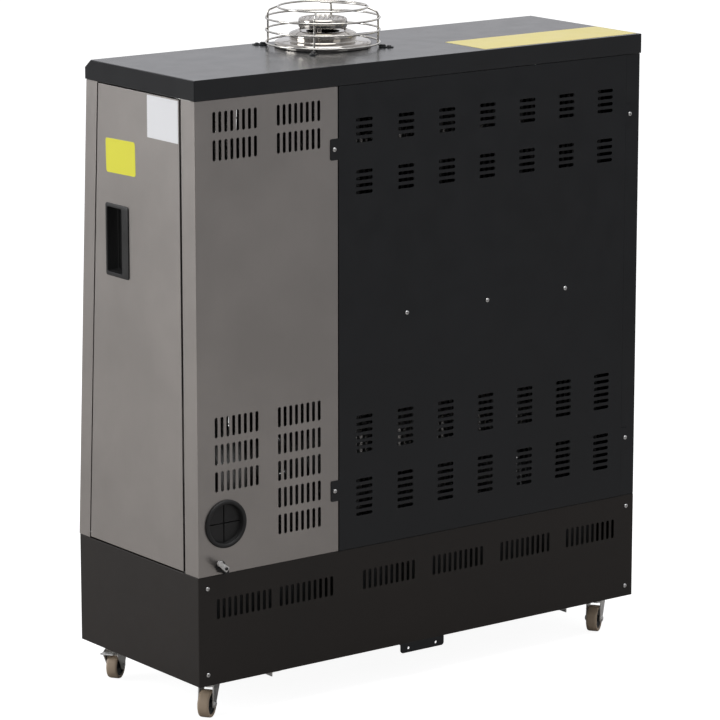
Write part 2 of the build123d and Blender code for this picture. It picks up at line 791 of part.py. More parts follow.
# Burner housing: round fan case with its blast tube through the bulkhead
case_radius = 84.0
case_length = 66.0
case_wall = 2.0
case_end = blast_x + case_length
motor_shaft = 4.0
with BuildPart() as burner_housing:
    crosswise(blast_x, case_end, flue_y, tube_first_z, case_radius)
    fillet(burner_housing.edges().filter_by(GeomType.CIRCLE), radius=5)
    crosswise(tube_start, blast_x + 1, flue_y, tube_first_z, blast_radius)
    crosswise(
        blast_x + case_wall, case_end - case_wall, flue_y, tube_first_z, case_radius - case_wall,
        Mode.SUBTRACT,
    )
    crosswise(
        tube_start - 1, blast_x + 5, flue_y, tube_first_z, tube_radius + fit_gap, Mode.SUBTRACT,
    )
    crosswise(case_end - 5, case_end + 1, flue_y, tube_first_z, motor_shaft + 4, Mode.SUBTRACT)
    # Foot that stands on the deck
    block(
        blast_x + 15, blast_x + 50, flue_y - 40, flue_y + 40, deck_z + sheet, deck_z + 2 * sheet + 1,
    )
    block(
        blast_x + 28, blast_x + 34, flue_y - 30, flue_y + 30, deck_z + sheet,
        tube_first_z - case_radius + 6,
    )
save(burner_housing, "burner_housing")

# Burner motor on the fan case
motor_radius = 42.0
motor_length = 84.0
with BuildPart() as burner_motor:
    crosswise(case_end, case_end + motor_length, flue_y, tube_first_z, motor_radius)
    fillet(burner_motor.faces().sort_by(Axis.X)[-1].edges(), radius=8)
    crosswise(blast_x + 18, case_end + 1, flue_y, tube_first_z, motor_shaft)
save(burner_motor, "burner_motor")

# Burner fan on the motor's shaft
fan_radius = 70.0
fan_x0 = blast_x + 12.0
fan_x1 = case_end - 10.0
blade_count = 16
with BuildPart() as burner_fan:
    crosswise(fan_x0, fan_x0 + 3, flue_y, tube_first_z, fan_radius)
    crosswise(fan_x0, fan_x1 - 12, flue_y, tube_first_z, motor_shaft + 8)
    fan_hub = Plane(origin=(fan_x0, flue_y, tube_first_z), x_dir=(0, 1, 0), z_dir=(1, 0, 0))
    with BuildSketch(fan_hub):
        with PolarLocations(fan_radius - 10, blade_count):
            Rectangle(16, 1.6, rotation=28)
    extrude(amount=fan_x1 - fan_x0)
    with BuildSketch(fan_hub.offset(fan_x1 - fan_x0 - 2)):
        Circle(fan_radius)
        Circle(fan_radius - 18, mode=Mode.SUBTRACT)
    extrude(amount=2)
    crosswise(
        fan_x0 - 1, fan_x1, flue_y, tube_first_z, motor_shaft + running_gap, Mode.SUBTRACT,
    )
save(burner_fan, "burner_fan")

# Ignition box on the bulkhead
bulkhead_face = bay_x - bulkhead_inset + sheet
ignition_depth = 64.0
ignition_size = 100.0
ignition_y = -10.0
ignition_z = deck_z + 291.0
terminal_length = 18.0
terminal_radius = 8.0
with BuildPart() as ignition_box:
    block(
        bulkhead_face, bulkhead_face + ignition_depth, ignition_y - ignition_size / 2,
        ignition_y + ignition_size / 2, ignition_z, ignition_z + ignition_size,
    )
    fillet(ignition_box.edges().filter_by(Axis.X), radius=4)
    for y in (ignition_y - 20, ignition_y + 20):
        crosswise(
            bulkhead_face + ignition_depth, bulkhead_face + ignition_depth + terminal_length, y,
            ignition_z + 40, terminal_radius,
        )
save(ignition_box, "ignition_box")

# Fuel pump and filter on the deck, in front of the burner
filter_x = half_width - 100.0
pump_floor = deck_z + sheet
pump_foot = 4.0
pump_body = 62.0
pump_top = 72.0
pump_radius = 17.0
filter_cup = 30.0
filter_top = 42.0
filter_radius = 24.0
with BuildPart() as fuel_pump:
    upright(line_x, line_y, pump_floor, pump_floor + pump_foot, pump_radius + 5)
    upright(line_x, line_y, pump_floor, pump_floor + pump_body, pump_radius)
    upright(line_x, line_y, pump_floor + pump_body, pump_floor + pump_top, 7)
    upright(
        line_x, line_y, pump_floor - 1, pump_floor + pump_body + 4, line_radius + fit_gap, Mode.SUBTRACT,
    )
save(fuel_pump, "fuel_pump")
with BuildPart() as fuel_filter:
    upright(filter_x, line_y, pump_floor, pump_floor + filter_cup, filter_radius - 5)
    upright(filter_x, line_y, pump_floor + filter_cup, pump_floor + filter_top, filter_radius)
    block(
        filter_x - filter_radius - 2, filter_x + filter_radius + 2, line_y - filter_radius,
        line_y - filter_radius + 4, pump_floor, pump_floor + filter_top,
    )
save(fuel_filter, "fuel_filter")

# Copper fuel lines: from the tank up through the pump, and over to the filter and the burner
line_high = pump_floor + 92.0
line_bend = 12.0
filter_side = pump_floor + 36.0
feed_x = filter_x - 70.0
with BuildPart() as fuel_lines:
    with BuildLine() as suction_path:
        FilletPolyline(
            (line_x, line_y, pump_floor + pump_top), (line_x, line_y, line_high),
            (filter_x, line_y, line_high), (filter_x, line_y, pump_floor + filter_top), radius=line_bend,
        )
    with BuildSketch(Plane(origin=(line_x, line_y, pump_floor + pump_top), z_dir=(0, 0, 1))):
        Circle(line_radius)
    sweep()
    with BuildLine() as feed_path:
        FilletPolyline(
            (filter_x - filter_radius, line_y, filter_side), (feed_x, line_y, filter_side),
            (feed_x, line_y, tube_first_z), (feed_x, flue_y - case_radius, tube_first_z),
            radius=line_bend - 4,
        )
    with BuildSketch(Plane(origin=(filter_x - filter_radius, line_y, filter_side), z_dir=(-1, 0, 0))):
        Circle(line_radius)
    sweep()
    upright(line_x, line_y, tank_floor + 30, pump_floor + pump_body + 4, line_radius)
save(fuel_lines, "fuel_lines")

# Control box behind the front panel
box_depth = 46.0
box_gap = 26.0
with BuildPart() as control_box:
    with BuildSketch(front.offset(-box_gap)):
        with Locations((control_x, control_s)):
            RectangleRounded(control_width - 2 * fit_gap, control_height - 2 * fit_gap, 4)
    extrude(amount=-box_depth)
save(control_box, "control_box")

# Control panel: a black bezel in the cut-out, with a display opening and four button holes
lip_thickness = 2.0
well_depth = box_gap
button_width = 30.0
button_height = 14.0
button_pitch = 46.0
button_gap = 0.25
button_travel = 1.2
button_proud = 2 * button_travel
button_length = 9.0
button_s = control_s - 48
display_width = 132.0
display_height = 46.0
display_s = control_s + 34
panel_face = front.offset(lip_thickness)
with BuildPart() as control_panel:
    with BuildSketch(front):
        with Locations((control_x, control_s)):
            RectangleRounded(control_width + 2 * control_lip, control_height + 2 * control_lip, 8)
    extrude(amount=lip_thickness)
    with BuildSketch(front):
        with Locations((control_x, control_s)):
            RectangleRounded(control_width - 2 * fit_gap, control_height - 2 * fit_gap, 4)
    extrude(amount=-well_depth)
    with BuildSketch(front.offset(-4)):
        with Locations((control_x, control_s)):
            RectangleRounded(control_width - 8, control_height - 8, 3)
    extrude(amount=-well_depth, mode=Mode.SUBTRACT)
    with BuildSketch(panel_face):
        with Locations((control_x, display_s)):
            RectangleRounded(display_width, display_height, 4)
        with Locations((control_x, button_s)):
            with GridLocations(button_pitch, button_pitch, 4, 1):
                RectangleRounded(button_width, button_height, 3)
    extrude(amount=-lip_thickness - 8, mode=Mode.SUBTRACT)
save(control_panel, "control_panel")

# Display window: dark glass in the bezel
with BuildPart() as display_window:
    with BuildSketch(panel_face.offset(-1)):
        with Locations((control_x, display_s)):
            RectangleRounded(display_width - 2 * fit_gap, display_height - 2 * fit_gap, 3.7)
    extrude(amount=-5)
    with BuildSketch(front.offset(-4)):
        with Locations((control_x, display_s)):
            RectangleRounded(display_width + 8, display_height + 8, 4)
    extrude(amount=-2)
save(display_window, "display_window")

# Four push buttons, each with a collar that keeps it behind the bezel
button_names = ("power", "mode", "warmer", "cooler")
for i, name in enumerate(button_names):
    button_x = control_x + (i - (len(button_names) - 1) / 2) * button_pitch
    with BuildPart() as button:
        with BuildSketch(panel_face.offset(button_proud)):
            with Locations((button_x, button_s)):
                RectangleRounded(button_width - 2 * button_gap, button_height - 2 * button_gap, 2.8)
        extrude(amount=-button_length)
        fillet(button.faces().sort_by(Axis.Y)[0].edges(), radius=0.8)
        with BuildSketch(front.offset(-4 - fit_gap)):
            with Locations((button_x, button_s)):
                RectangleRounded(button_width + 3, button_height + 3, 3)
        extrude(amount=-1.5)
    save(button, "button_" + name)

# Side door: a folded pan hung at its rear edge
door_edge_gap = 2.5
door_low = deck_z + door_edge_gap
door_high = lid_z - door_edge_gap
door_rear = back_y - side_return - door_rear_gap
door_front_gap = front_return + door_gap
with BuildPart() as side_door:
    with BuildSketch(Plane.YZ.offset(half_width)):
        with BuildLine():
            Polyline(
                (front_y(door_low) + door_front_gap, door_low),
                (door_rear, door_low),
                (door_rear, door_high),
                (front_y(door_high) + door_front_gap, door_high),
                close=True,
            )
        make_face()
    extrude(amount=-door_pan)
    with BuildSketch(Plane.YZ.offset(half_width - thin_sheet)):
        with BuildLine():
            Polyline(
                (front_y(door_low) + door_front_gap + thin_sheet, door_low + thin_sheet),
                (door_rear - thin_sheet, door_low + thin_sheet),
                (door_rear - thin_sheet, door_high - thin_sheet),
                (front_y(door_high) + door_front_gap + thin_sheet, door_high - thin_sheet),
                close=True,
            )
        make_face()
    extrude(amount=-door_pan, mode=Mode.SUBTRACT)
    with BuildSketch(side):
        with Locations((-grip_v, pull_z)):
            RectangleRounded(grip_width + 5 + 2 * fit_gap, grip_height + 6 + 2 * fit_gap, 4)
    extrude(amount=-thin_sheet - 1, mode=Mode.SUBTRACT)
save(side_door, "side_door")

# Hinge pins at the top and bottom of the door
bore_thickness = 4.0
with BuildPart() as hinge_pins:
    upright(hinge_x, hinge_y, deck_z - sheet - bore_thickness, door_low, hinge_pin_radius)
    upright(hinge_x, hinge_y, door_high, lid_z + bore_thickness, hinge_pin_radius)
save(hinge_pins, "hinge_pins")

# Hinge brackets that take the pins
bracket_margin = 8.0
with BuildPart() as hinge_brackets:
    block(
        hinge_x - 3 * bracket_margin, half_width - sheet, hinge_y - bracket_margin,
        hinge_y + bracket_margin, deck_z - sheet - bore_thickness, deck_z - sheet,
    )
    block(
        hinge_x - 2.5 * bracket_margin, half_width - 1, hinge_y - bracket_margin,
        back_y - 14, rear_high, lid_z - 0.1 + bore_thickness,
    )
    for z in (deck_z - sheet - bore_thickness - 1, rear_high - 1):
        upright(hinge_x, hinge_y, z, z + 8, hinge_pin_radius + running_gap, Mode.SUBTRACT)
save(hinge_brackets, "hinge_brackets")

# Door pull: black recessed grip with a sloping lip on its rear side
with BuildPart() as door_pull:
    with BuildSketch(side):
        with Locations((-pull_v, pull_z)):
            RectangleRounded(pull_width, pull_height, 5)
    extrude(amount=pull_proud)
    fillet(door_pull.faces().sort_by(Axis.X)[-1].edges(), radius=1.5)
    with BuildSketch(side):
        with Locations((-grip_v, pull_z)):
            RectangleRounded(grip_width + 5, grip_height + 6, 4)
    extrude(amount=-pull_depth)
    with BuildSketch(side.offset(pull_proud)):
        with Locations((-grip_v, pull_z)):
            RectangleRounded(grip_width, grip_height, 3)
    extrude(amount=-pull_depth - pull_proud + 2, mode=Mode.SUBTRACT)
save(door_pull, "door_pull")

# Blank labels on the door
label_sizes = ((97.5, 998.3, 95.0, 74.6, 0.0), (230.5, 914.5, 93.0, 61.0, 1.5))
with BuildPart() as door_labels:
    with BuildSketch(side):
        for v, z, width, height, turn in label_sizes:
            with Locations((-v, z)):
                RectangleRounded(width, height, 5 if turn else 0.5, rotation=turn)
    extrude(amount=label_sheet)
save(door_labels, "door_labels")

# Flue base: flange, drum and cone round the riser
flange_radius = 88.0
flange_height = 11.0
drum_top = 30.0
cone_radius = 48.0
sleeve_drop = 34.0
with BuildPart() as flue_base:
    with BuildSketch(Plane.XZ.offset(-flue_y)):
        with BuildLine():
            Polyline(
                (flue_x + sleeve_radius - sleeve_wall, top_z - sleeve_drop),
                (flue_x + sleeve_radius, top_z - sleeve_drop),
                (flue_x + sleeve_radius, top_z),
                (flue_x + flange_radius, top_z),
                (flue_x + flange_radius, top_z + flange_height - 5),
                (flue_x + flange_radius - 5, top_z + flange_height),
                (flue_x + drum_radius, top_z + flange_height),
                (flue_x + drum_radius, top_z + drum_top - 6),
                (flue_x + cone_radius, top_z + drum_top),
                (flue_x + sleeve_radius - sleeve_wall, top_z + drum_top),
                close=True,
            )
        make_face()
    revolve(axis=Axis((flue_x, flue_y, 0), (0, 0, 1)))
save(flue_base, "flue_base")

# Flue cap: a round lid on four legs, with slanted slats on top
cap_low = 36.0
cap_high = 56.0
flue_cap_radius = 44.0
slat_count = 5
with BuildPart() as flue_cap:
    upright(flue_x, flue_y, top_z + cap_low, top_z + cap_high - 4, flue_cap_radius)
    fillet(flue_cap.faces().sort_by(Axis.Z)[-1].edges(), radius=5)
    upright(flue_x, flue_y, top_z + cap_low - 1, top_z + cap_high - 8, flue_cap_radius - 2, Mode.SUBTRACT)
    for i in range(slat_count):
        offset_y = (i - (slat_count - 1) / 2) * 13
        length = 2 * (flue_cap_radius - 8) * cos(radians(abs(offset_y) * 1.9))
        with Locations((flue_x, flue_y + offset_y, top_z + cap_high - 4)):
            Box(length, 9, 3, rotation=(22, 0, 0))
    with Locations((flue_x, flue_y, 0)):
        with PolarLocations(flue_cap_radius - 3, 4, start_angle=45):
            with Locations((0, 0, top_z + (drum_top + cap_high - 8) / 2)):
                Box(3, 8, cap_high - 8 - drum_top)
save(flue_cap, "flue_cap")

# Flue guard: wire rings on four uprights, with flat feet screwed to the lid
ring_wire = 1.8
ring_radius = 103.0
ring_heights = (8.0, 31.0, 53.0)
top_ring_radius = 81.0
top_ring_height = 72.0
post_radius = ring_radius - 2 * ring_wire + 1.2
post_bend = 60.0
foot_reach = 129.0
foot_width = 14.0
foot_sheet = 2.0
foot_screw = foot_reach - 8.0
with BuildPart() as flue_guard:
    for quarter in range(4):
        turn = radians(45 + 90 * quarter)
        out = (cos(turn), sin(turn), 0)
        foot = Plane(origin=(flue_x, flue_y, top_z), x_dir=out, z_dir=(0, 0, 1))
        with BuildSketch(foot):
            with Locations(((post_radius + foot_reach) / 2 - 3, 0)):
                SlotOverall(foot_reach - post_radius + 6, foot_width)
        extrude(amount=foot_sheet)
        with BuildSketch(foot.offset(foot_sheet / 2)):
            with Locations((post_radius, 0)):
                Circle(ring_wire)
        extrude(amount=post_bend - foot_sheet / 2)
        knee = foot.from_local_coords((post_radius, 0, post_bend))
        tip = foot.from_local_coords((top_ring_radius, 0, top_ring_height))
        with Locations(knee):
            Sphere(ring_wire)
        with BuildSketch(Plane(origin=knee, z_dir=tip - knee)):
            Circle(ring_wire)
        extrude(amount=(tip - knee).length)
        with BuildSketch(foot.offset(foot_sheet)):
            with Locations((foot_screw, 0)):
                Circle(head_radius)
        extrude(amount=head_height)
    for h in ring_heights:
        with Locations((flue_x, flue_y, top_z + h)):
            Torus(ring_radius, ring_wire)
    with Locations((flue_x, flue_y, top_z + top_ring_height)):
        Torus(top_ring_radius, ring_wire)
save(flue_guard, "flue_guard")

# Cable grommet: black ring with a recessed, cross-slit membrane
grommet_radius = 43.3
grommet_lip = 5.0
dish_radius = 35.0
slit = 1.2
with BuildPart() as cable_grommet:
    with BuildSketch(rear):
        with Locations((grommet_u, grommet_z)):
            Circle(grommet_radius)
    extrude(amount=grommet_lip)
    fillet(cable_grommet.faces().sort_by(Axis.Y)[-1].edges(), radius=3)
    with BuildSketch(rear):
        with Locations((grommet_u, grommet_z)):
            Circle(grommet_hole - fit_gap)
    extrude(amount=-10)
    with BuildSketch(rear.offset(grommet_lip)):
        with Locations((grommet_u, grommet_z)):
            Circle(dish_radius)
    extrude(amount=-grommet_lip - 6, mode=Mode.SUBTRACT)
    with BuildSketch(rear.offset(-5)):
        with Locations((grommet_u, grommet_z)):
            Rectangle(52, slit)
            Rectangle(slit, 52)
    extrude(amount=-6, mode=Mode.SUBTRACT)
save(cable_grommet, "cable_grommet")

# Drain cock: black body on the rear panel with a short spout, and a flat lever on its end
cock_reach = 15.0
lever_sheet = 2.5
lever_pin = 3.0
with BuildPart() as drain_cock:
    with BuildSketch(rear.offset(-16)):
        with Locations((cock_u, cock_z)):
            Circle(cock_stem)
    extrude(amount=16)
    with BuildSketch(rear):
        with Locations((cock_u, cock_z)):
            RegularPolygon(11, 6)
    extrude(amount=cock_reach)
    with BuildSketch(rear.offset(8)):
        with Locations((cock_u + 4, cock_z + 8)):
            Circle(5)
    extrude(amount=-5)
    with BuildSketch(rear.offset(cock_reach)):
        with Locations((cock_u, cock_z)):
            Circle(lever_pin)
    extrude(amount=6)
    with BuildSketch(rear.offset(-12)):
        with Locations((cock_u, cock_z)):
            Circle(10)
    extrude(amount=12 - sheet)
save(drain_cock, "drain_cock")
with BuildPart() as drain_lever:
    with BuildSketch(rear.offset(cock_reach + fit_gap)):
        with Locations((cock_u, cock_z)):
            SlotOverall(34, 9, rotation=-40)
            Circle(lever_pin + running_gap, mode=Mode.SUBTRACT)
    extrude(amount=lever_sheet)
save(drain_lever, "drain_lever")

# Castors: plates with their raceways and kingpins, then forks, wheels and brake pedals
castor_places = (
    ("rear_door", 1, 1),
    ("rear_far", -1, 1),
    ("front_door", 1, -1),
    ("front_far", -1, -1),
)
castor_x = half_width - castor_inset_x
castor_y = back_y - castor_inset_y
plate_size = 60.0
plate_thickness = 2.5
crown_top = castor_height - 10.0
crown_thickness = 2.5
nut_radius = 7.0
with BuildPart() as castor_plates:
    for name, right, behind in castor_places:
        x = right * castor_x
        y = behind * castor_y
        block(
            x - plate_size / 2, x + plate_size / 2, y - plate_size / 2, y + plate_size / 2,
            castor_height - plate_thickness, castor_height,
        )
        upright(x, y, crown_top + fit_gap, castor_height, 17)
        upright(x, y, crown_top - 7, castor_height, kingpin_radius)
        upright(x, y, crown_top - 7, crown_top - crown_thickness - fit_gap, nut_radius)
save(castor_plates, "castor_plates")

leg_outer = fork_gap / 2 + fork_leg
pedal_x = castor_trail + 21.0
pedal_z = crown_top - 8.0
pedal_pin = 2.0
for name, right, behind in castor_places:
    braked = behind < 0
    heading = (cos(radians(castor_yaw)), sin(radians(castor_yaw)), 0)
    across = (heading[1], -heading[0], 0)
    centre = (right * castor_x, behind * castor_y, 0)
    castor = Plane(origin=centre, x_dir=heading, z_dir=across)
    crown = Plane(origin=centre, x_dir=heading, z_dir=(0, 0, 1))
    with BuildPart() as castor_fork:
        with BuildSketch(castor.offset(-leg_outer)):
            with BuildLine():
                Polyline((-15, crown_top), (-15, crown_top - 7), (castor_trail - 8, wheel_radius))
                ThreePointArc(
                    (castor_trail - 8, wheel_radius), (castor_trail, wheel_radius - 8),
                    (castor_trail + 8, wheel_radius),
                )
                if braked:
                    Polyline(
                        (castor_trail + 8, wheel_radius), (pedal_x + 5, pedal_z - 4),
                        (pedal_x + 5, pedal_z + 4), (20, crown_top), (-15, crown_top),
                    )
                else:
                    Polyline(
                        (castor_trail + 8, wheel_radius), (18, crown_top - 7), (18, crown_top),
                        (-15, crown_top),
                    )
            make_face()
        extrude(amount=2 * leg_outer)
        with BuildSketch(castor.offset(-fork_gap / 2)):
            with Locations((10, (crown_top - crown_thickness) / 2)):
                Rectangle(60, crown_top - crown_thickness)
        extrude(amount=fork_gap, mode=Mode.SUBTRACT)
        with BuildSketch(castor.offset(-fork_gap / 2)):
            with Locations((20 + 10, crown_top)):
                Rectangle(20, 20)
        extrude(amount=fork_gap, mode=Mode.SUBTRACT)
        with BuildSketch(crown.offset(crown_top - crown_thickness - 1)):
            Circle(kingpin_radius + running_gap)
        extrude(amount=crown_thickness + 2, mode=Mode.SUBTRACT)
        with BuildSketch(castor.offset(-leg_outer - 2)):
            with Locations((castor_trail, wheel_radius)):
                Circle(axle_radius)
        extrude(amount=2 * leg_outer + 4)
        for start in (-leg_outer - 2.5, leg_outer):
            with BuildSketch(castor.offset(start)):
                with Locations((castor_trail, wheel_radius)):
                    RegularPolygon(5, 6)
            extrude(amount=2.5)
        if braked:
            with BuildSketch(castor.offset(-leg_outer - 1)):
                with Locations((pedal_x, pedal_z)):
                    Circle(pedal_pin + running_gap)
            extrude(amount=2 * leg_outer + 2, mode=Mode.SUBTRACT)
    save(castor_fork, "castor_fork_" + name)

    with BuildPart() as castor_wheel:
        with BuildSketch(castor.offset(-wheel_width / 2)):
            with Locations((castor_trail, wheel_radius)):
                Circle(wheel_radius)
        extrude(amount=wheel_width)
        fillet(castor_wheel.edges().filter_by(GeomType.CIRCLE), radius=2.5)
        for start in (-wheel_width / 2, wheel_width / 2 - 2.5):
            with BuildSketch(castor.offset(start)):
                with Locations((castor_trail, wheel_radius)):
                    Circle(wheel_radius - 6)
                    Circle(9, mode=Mode.SUBTRACT)
            extrude(amount=2.5, mode=Mode.SUBTRACT)
        with BuildSketch(castor.offset(-fork_gap / 2 + 0.6)):
            with Locations((castor_trail, wheel_radius)):
                Circle(9)
        extrude(amount=fork_gap - 1.2)
        with BuildSketch(castor.offset(-fork_gap / 2)):
            with Locations((castor_trail, wheel_radius)):
                Circle(axle_radius + running_gap)
        extrude(amount=fork_gap, mode=Mode.SUBTRACT)
    save(castor_wheel, "castor_wheel_" + name)

    if braked:
        with BuildPart() as brake_pedal:
            with BuildSketch(castor.offset(-fork_gap / 2 + 0.6)):
                with Locations((pedal_x, pedal_z)):
                    Circle(4)
                with BuildLine():
                    Polyline(
                        (pedal_x, pedal_z + 1), (pedal_x + 5, pedal_z + 4), (pedal_x + 26, pedal_z + 7),
                        (pedal_x + 27, pedal_z + 4.4), (pedal_x + 5, pedal_z - 1), close=True,
                    )
                make_face()
            extrude(amount=fork_gap - 1.2)
            with BuildSketch(castor.offset(-leg_outer - 1)):
                with Locations((pedal_x, pedal_z)):
                    Circle(pedal_pin)
            extrude(amount=2 * leg_outer + 2)
        save(brake_pedal, "brake_pedal_" + name)
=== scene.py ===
"""Finishes and fine shapes of the infrared oil heater, over its packed construction.

Metres, +Z up. The front with the emitter window faces -Y, and the service door is on the +X side.
"""

import json
import math

import bmesh
import bpy
import numpy as np
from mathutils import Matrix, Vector


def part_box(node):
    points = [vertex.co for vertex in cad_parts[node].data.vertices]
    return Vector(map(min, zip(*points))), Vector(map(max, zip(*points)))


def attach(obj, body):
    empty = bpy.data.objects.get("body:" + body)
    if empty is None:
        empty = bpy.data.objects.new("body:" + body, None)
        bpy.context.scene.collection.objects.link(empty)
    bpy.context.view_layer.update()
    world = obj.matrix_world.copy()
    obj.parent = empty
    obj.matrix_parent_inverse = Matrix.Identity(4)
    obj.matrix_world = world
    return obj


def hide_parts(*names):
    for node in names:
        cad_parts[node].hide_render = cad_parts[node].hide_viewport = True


bl_info = {
    "name": "Infrared Oil Heater",
    "version": (1, 0, 0),
    "blender": (4, 5, 0),
    "location": "View3D > Sidebar > Heater",
    "description": "Builds the finishes and fine shapes of an infrared oil heater",
    "category": "Object",
}

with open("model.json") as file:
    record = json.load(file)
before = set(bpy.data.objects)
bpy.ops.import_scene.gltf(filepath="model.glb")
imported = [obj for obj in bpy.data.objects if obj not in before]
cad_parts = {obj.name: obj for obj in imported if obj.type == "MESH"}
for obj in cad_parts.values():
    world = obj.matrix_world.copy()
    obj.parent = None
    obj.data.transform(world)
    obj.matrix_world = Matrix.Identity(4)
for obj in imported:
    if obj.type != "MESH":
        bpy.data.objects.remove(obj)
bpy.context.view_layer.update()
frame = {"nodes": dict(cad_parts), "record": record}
MM = 0.001
TAU = 2 * math.pi
FINISHES = {}


# Sizes and colours that a user would change
class HeaterStage(bpy.types.PropertyGroup):
    """Camera, floor and light."""

    camera_place: bpy.props.FloatVectorProperty(
        name="Camera place", description="Where the camera stands", size=3, subtype="TRANSLATION",
        unit="LENGTH", default=(4.1845, 5.5771, 2.1036),
    )
    camera_heading: bpy.props.FloatProperty(
        name="Heading", description="Turn of the view from the back's own normal", subtype="ANGLE",
        default=math.radians(36.854),
    )
    camera_tilt: bpy.props.FloatProperty(
        name="Tilt", description="How far the view looks down", subtype="ANGLE", default=math.radians(12.479),
    )
    lens: bpy.props.FloatProperty(
        name="Lens", description="Focal length on a 36 mm sensor", default=193.52, subtype="DISTANCE_CAMERA",
    )
    floor_radius: bpy.props.FloatProperty(
        name="Floor radius", description="Radius of the pale floor", default=14.0, unit="LENGTH",
    )


class HeaterFinish(bpy.types.PropertyGroup):
    """Main colours."""

    stainless: bpy.props.FloatVectorProperty(
        name="Stainless", description="Satin stainless sheet", size=3, subtype="COLOR",
        default=(0.44, 0.415, 0.395),
    )
    black_paint: bpy.props.FloatVectorProperty(
        name="Black paint", description="Powder coat of the cover and lid", size=3, subtype="COLOR",
        default=(0.0035, 0.0048, 0.0066),
    )
    skirt_paint: bpy.props.FloatVectorProperty(
        name="Skirt paint", description="Brownish black coat of the base", size=3, subtype="COLOR",
        default=(0.0082, 0.0052, 0.0032),
    )
    wheel_tread: bpy.props.FloatVectorProperty(
        name="Wheel tread", description="Beige-brown castor wheels", size=3, subtype="COLOR",
        default=(0.52, 0.41, 0.30),
    )
    label_yellow: bpy.props.FloatVectorProperty(
        name="Yellow label", description="Blank yellow label", size=3, subtype="COLOR",
        default=(0.90, 0.87, 0.075),
    )
    label_pale: bpy.props.FloatVectorProperty(
        name="Pale label", description="Blank label on the lid", size=3, subtype="COLOR",
        default=(0.62, 0.53, 0.155),
    )


# Materials


def shader_of(name):
    """A new material with its Principled shader and an Object coordinate node."""
    material = bpy.data.materials.new(name)
    material.use_nodes = True
    tree = material.node_tree
    shader = tree.nodes["Principled BSDF"]
    coordinates = tree.nodes.new("ShaderNodeTexCoord")
    return material, tree, shader, coordinates.outputs["Object"]


def noise(tree, where, scale, detail=4.0, stretch=(1, 1, 1)):
    """Noise in Object coordinates, its pattern stretched by the given factors."""
    mapping = tree.nodes.new("ShaderNodeMapping")
    mapping.inputs["Scale"].default_value = stretch
    tree.links.new(where, mapping.inputs["Vector"])
    texture = tree.nodes.new("ShaderNodeTexNoise")
    texture.inputs["Scale"].default_value = scale
    texture.inputs["Detail"].default_value = detail
    tree.links.new(mapping.outputs["Vector"], texture.inputs["Vector"])
    return texture.outputs["Fac"]


def ranged(tree, value, low, high, start=0.35, end=0.65):
    """The value between start and end, mapped to low and high."""
    node = tree.nodes.new("ShaderNodeMapRange")
    node.inputs["From Min"].default_value = start
    node.inputs["From Max"].default_value = end
    node.inputs["To Min"].default_value = low
    node.inputs["To Max"].default_value = high
    tree.links.new(value, node.inputs["Value"])
    return node.outputs["Result"]


def tinted(tree, value, dark, light):
    """A colour between dark and light by the value."""
    node = tree.nodes.new("ShaderNodeMix")
    node.data_type = "RGBA"
    node.inputs["A"].default_value = (*dark, 1)
    node.inputs["B"].default_value = (*light, 1)
    tree.links.new(value, node.inputs["Factor"])
    return node.outputs["Result"]


def bumped(tree, shader, height, strength, distance):
    """Bump from the height, in metres, on the shader's normal."""
    node = tree.nodes.new("ShaderNodeBump")
    node.inputs["Strength"].default_value = strength
    node.inputs["Distance"].default_value = distance
    tree.links.new(height, node.inputs["Height"])
    tree.links.new(node.outputs["Normal"], shader.inputs["Normal"])


def shade(color, factor):
    """The colour made darker or lighter."""
    return tuple(min(1.0, c * factor) for c in color)


def metal(name, color, roughness, spread, grain, grain_size=900.0, bump=0.15, mottle=0.06):
    """Metal with soft mottling, a stretched grain in its roughness, and a fine bump."""
    material, tree, shader, where = shader_of(name)
    shader.inputs["Metallic"].default_value = 1.0
    cloud = noise(tree, where, 7.0, 5.0)
    tone = ranged(tree, cloud, 0.0, 1.0)
    tint = tinted(tree, tone, shade(color, 1 - mottle), shade(color, 1 + mottle))
    tree.links.new(tint, shader.inputs["Base Color"])
    fine = noise(tree, where, grain_size, 3.0, grain)
    tree.links.new(ranged(tree, fine, roughness - spread, roughness + spread), shader.inputs["Roughness"])
    bumped(tree, shader, fine, bump, 0.00004)
    return material


def coating(name, color, roughness, peel=700.0, bump=0.25, specular=0.5, spread=0.05, vary=0.12):
    """Powder coat or moulded plastic: orange peel bump, with small changes of tone and gloss."""
    material, tree, shader, where = shader_of(name)
    shader.inputs["Specular IOR Level"].default_value = specular
    cloud = noise(tree, where, 5.0, 6.0)
    tone = ranged(tree, cloud, 0.0, 1.0)
    tint = tinted(tree, tone, shade(color, 1 - vary), shade(color, 1 + vary))
    tree.links.new(tint, shader.inputs["Base Color"])
    smears = noise(tree, where, 22.0, 4.0)
    tree.links.new(ranged(tree, smears, roughness - spread, roughness + spread), shader.inputs["Roughness"])
    bumped(tree, shader, noise(tree, where, peel, 2.0), bump, 0.00006)
    return material


def glass(name, color):
    """Dark clear cover with a slight gloss change."""
    material, tree, shader, where = shader_of(name)
    shader.inputs["Base Color"].default_value = (*color, 1)
    shader.inputs["Coat Weight"].default_value = 0.6
    tree.links.new(ranged(tree, noise(tree, where, 40.0), 0.05, 0.09), shader.inputs["Roughness"])
    return material


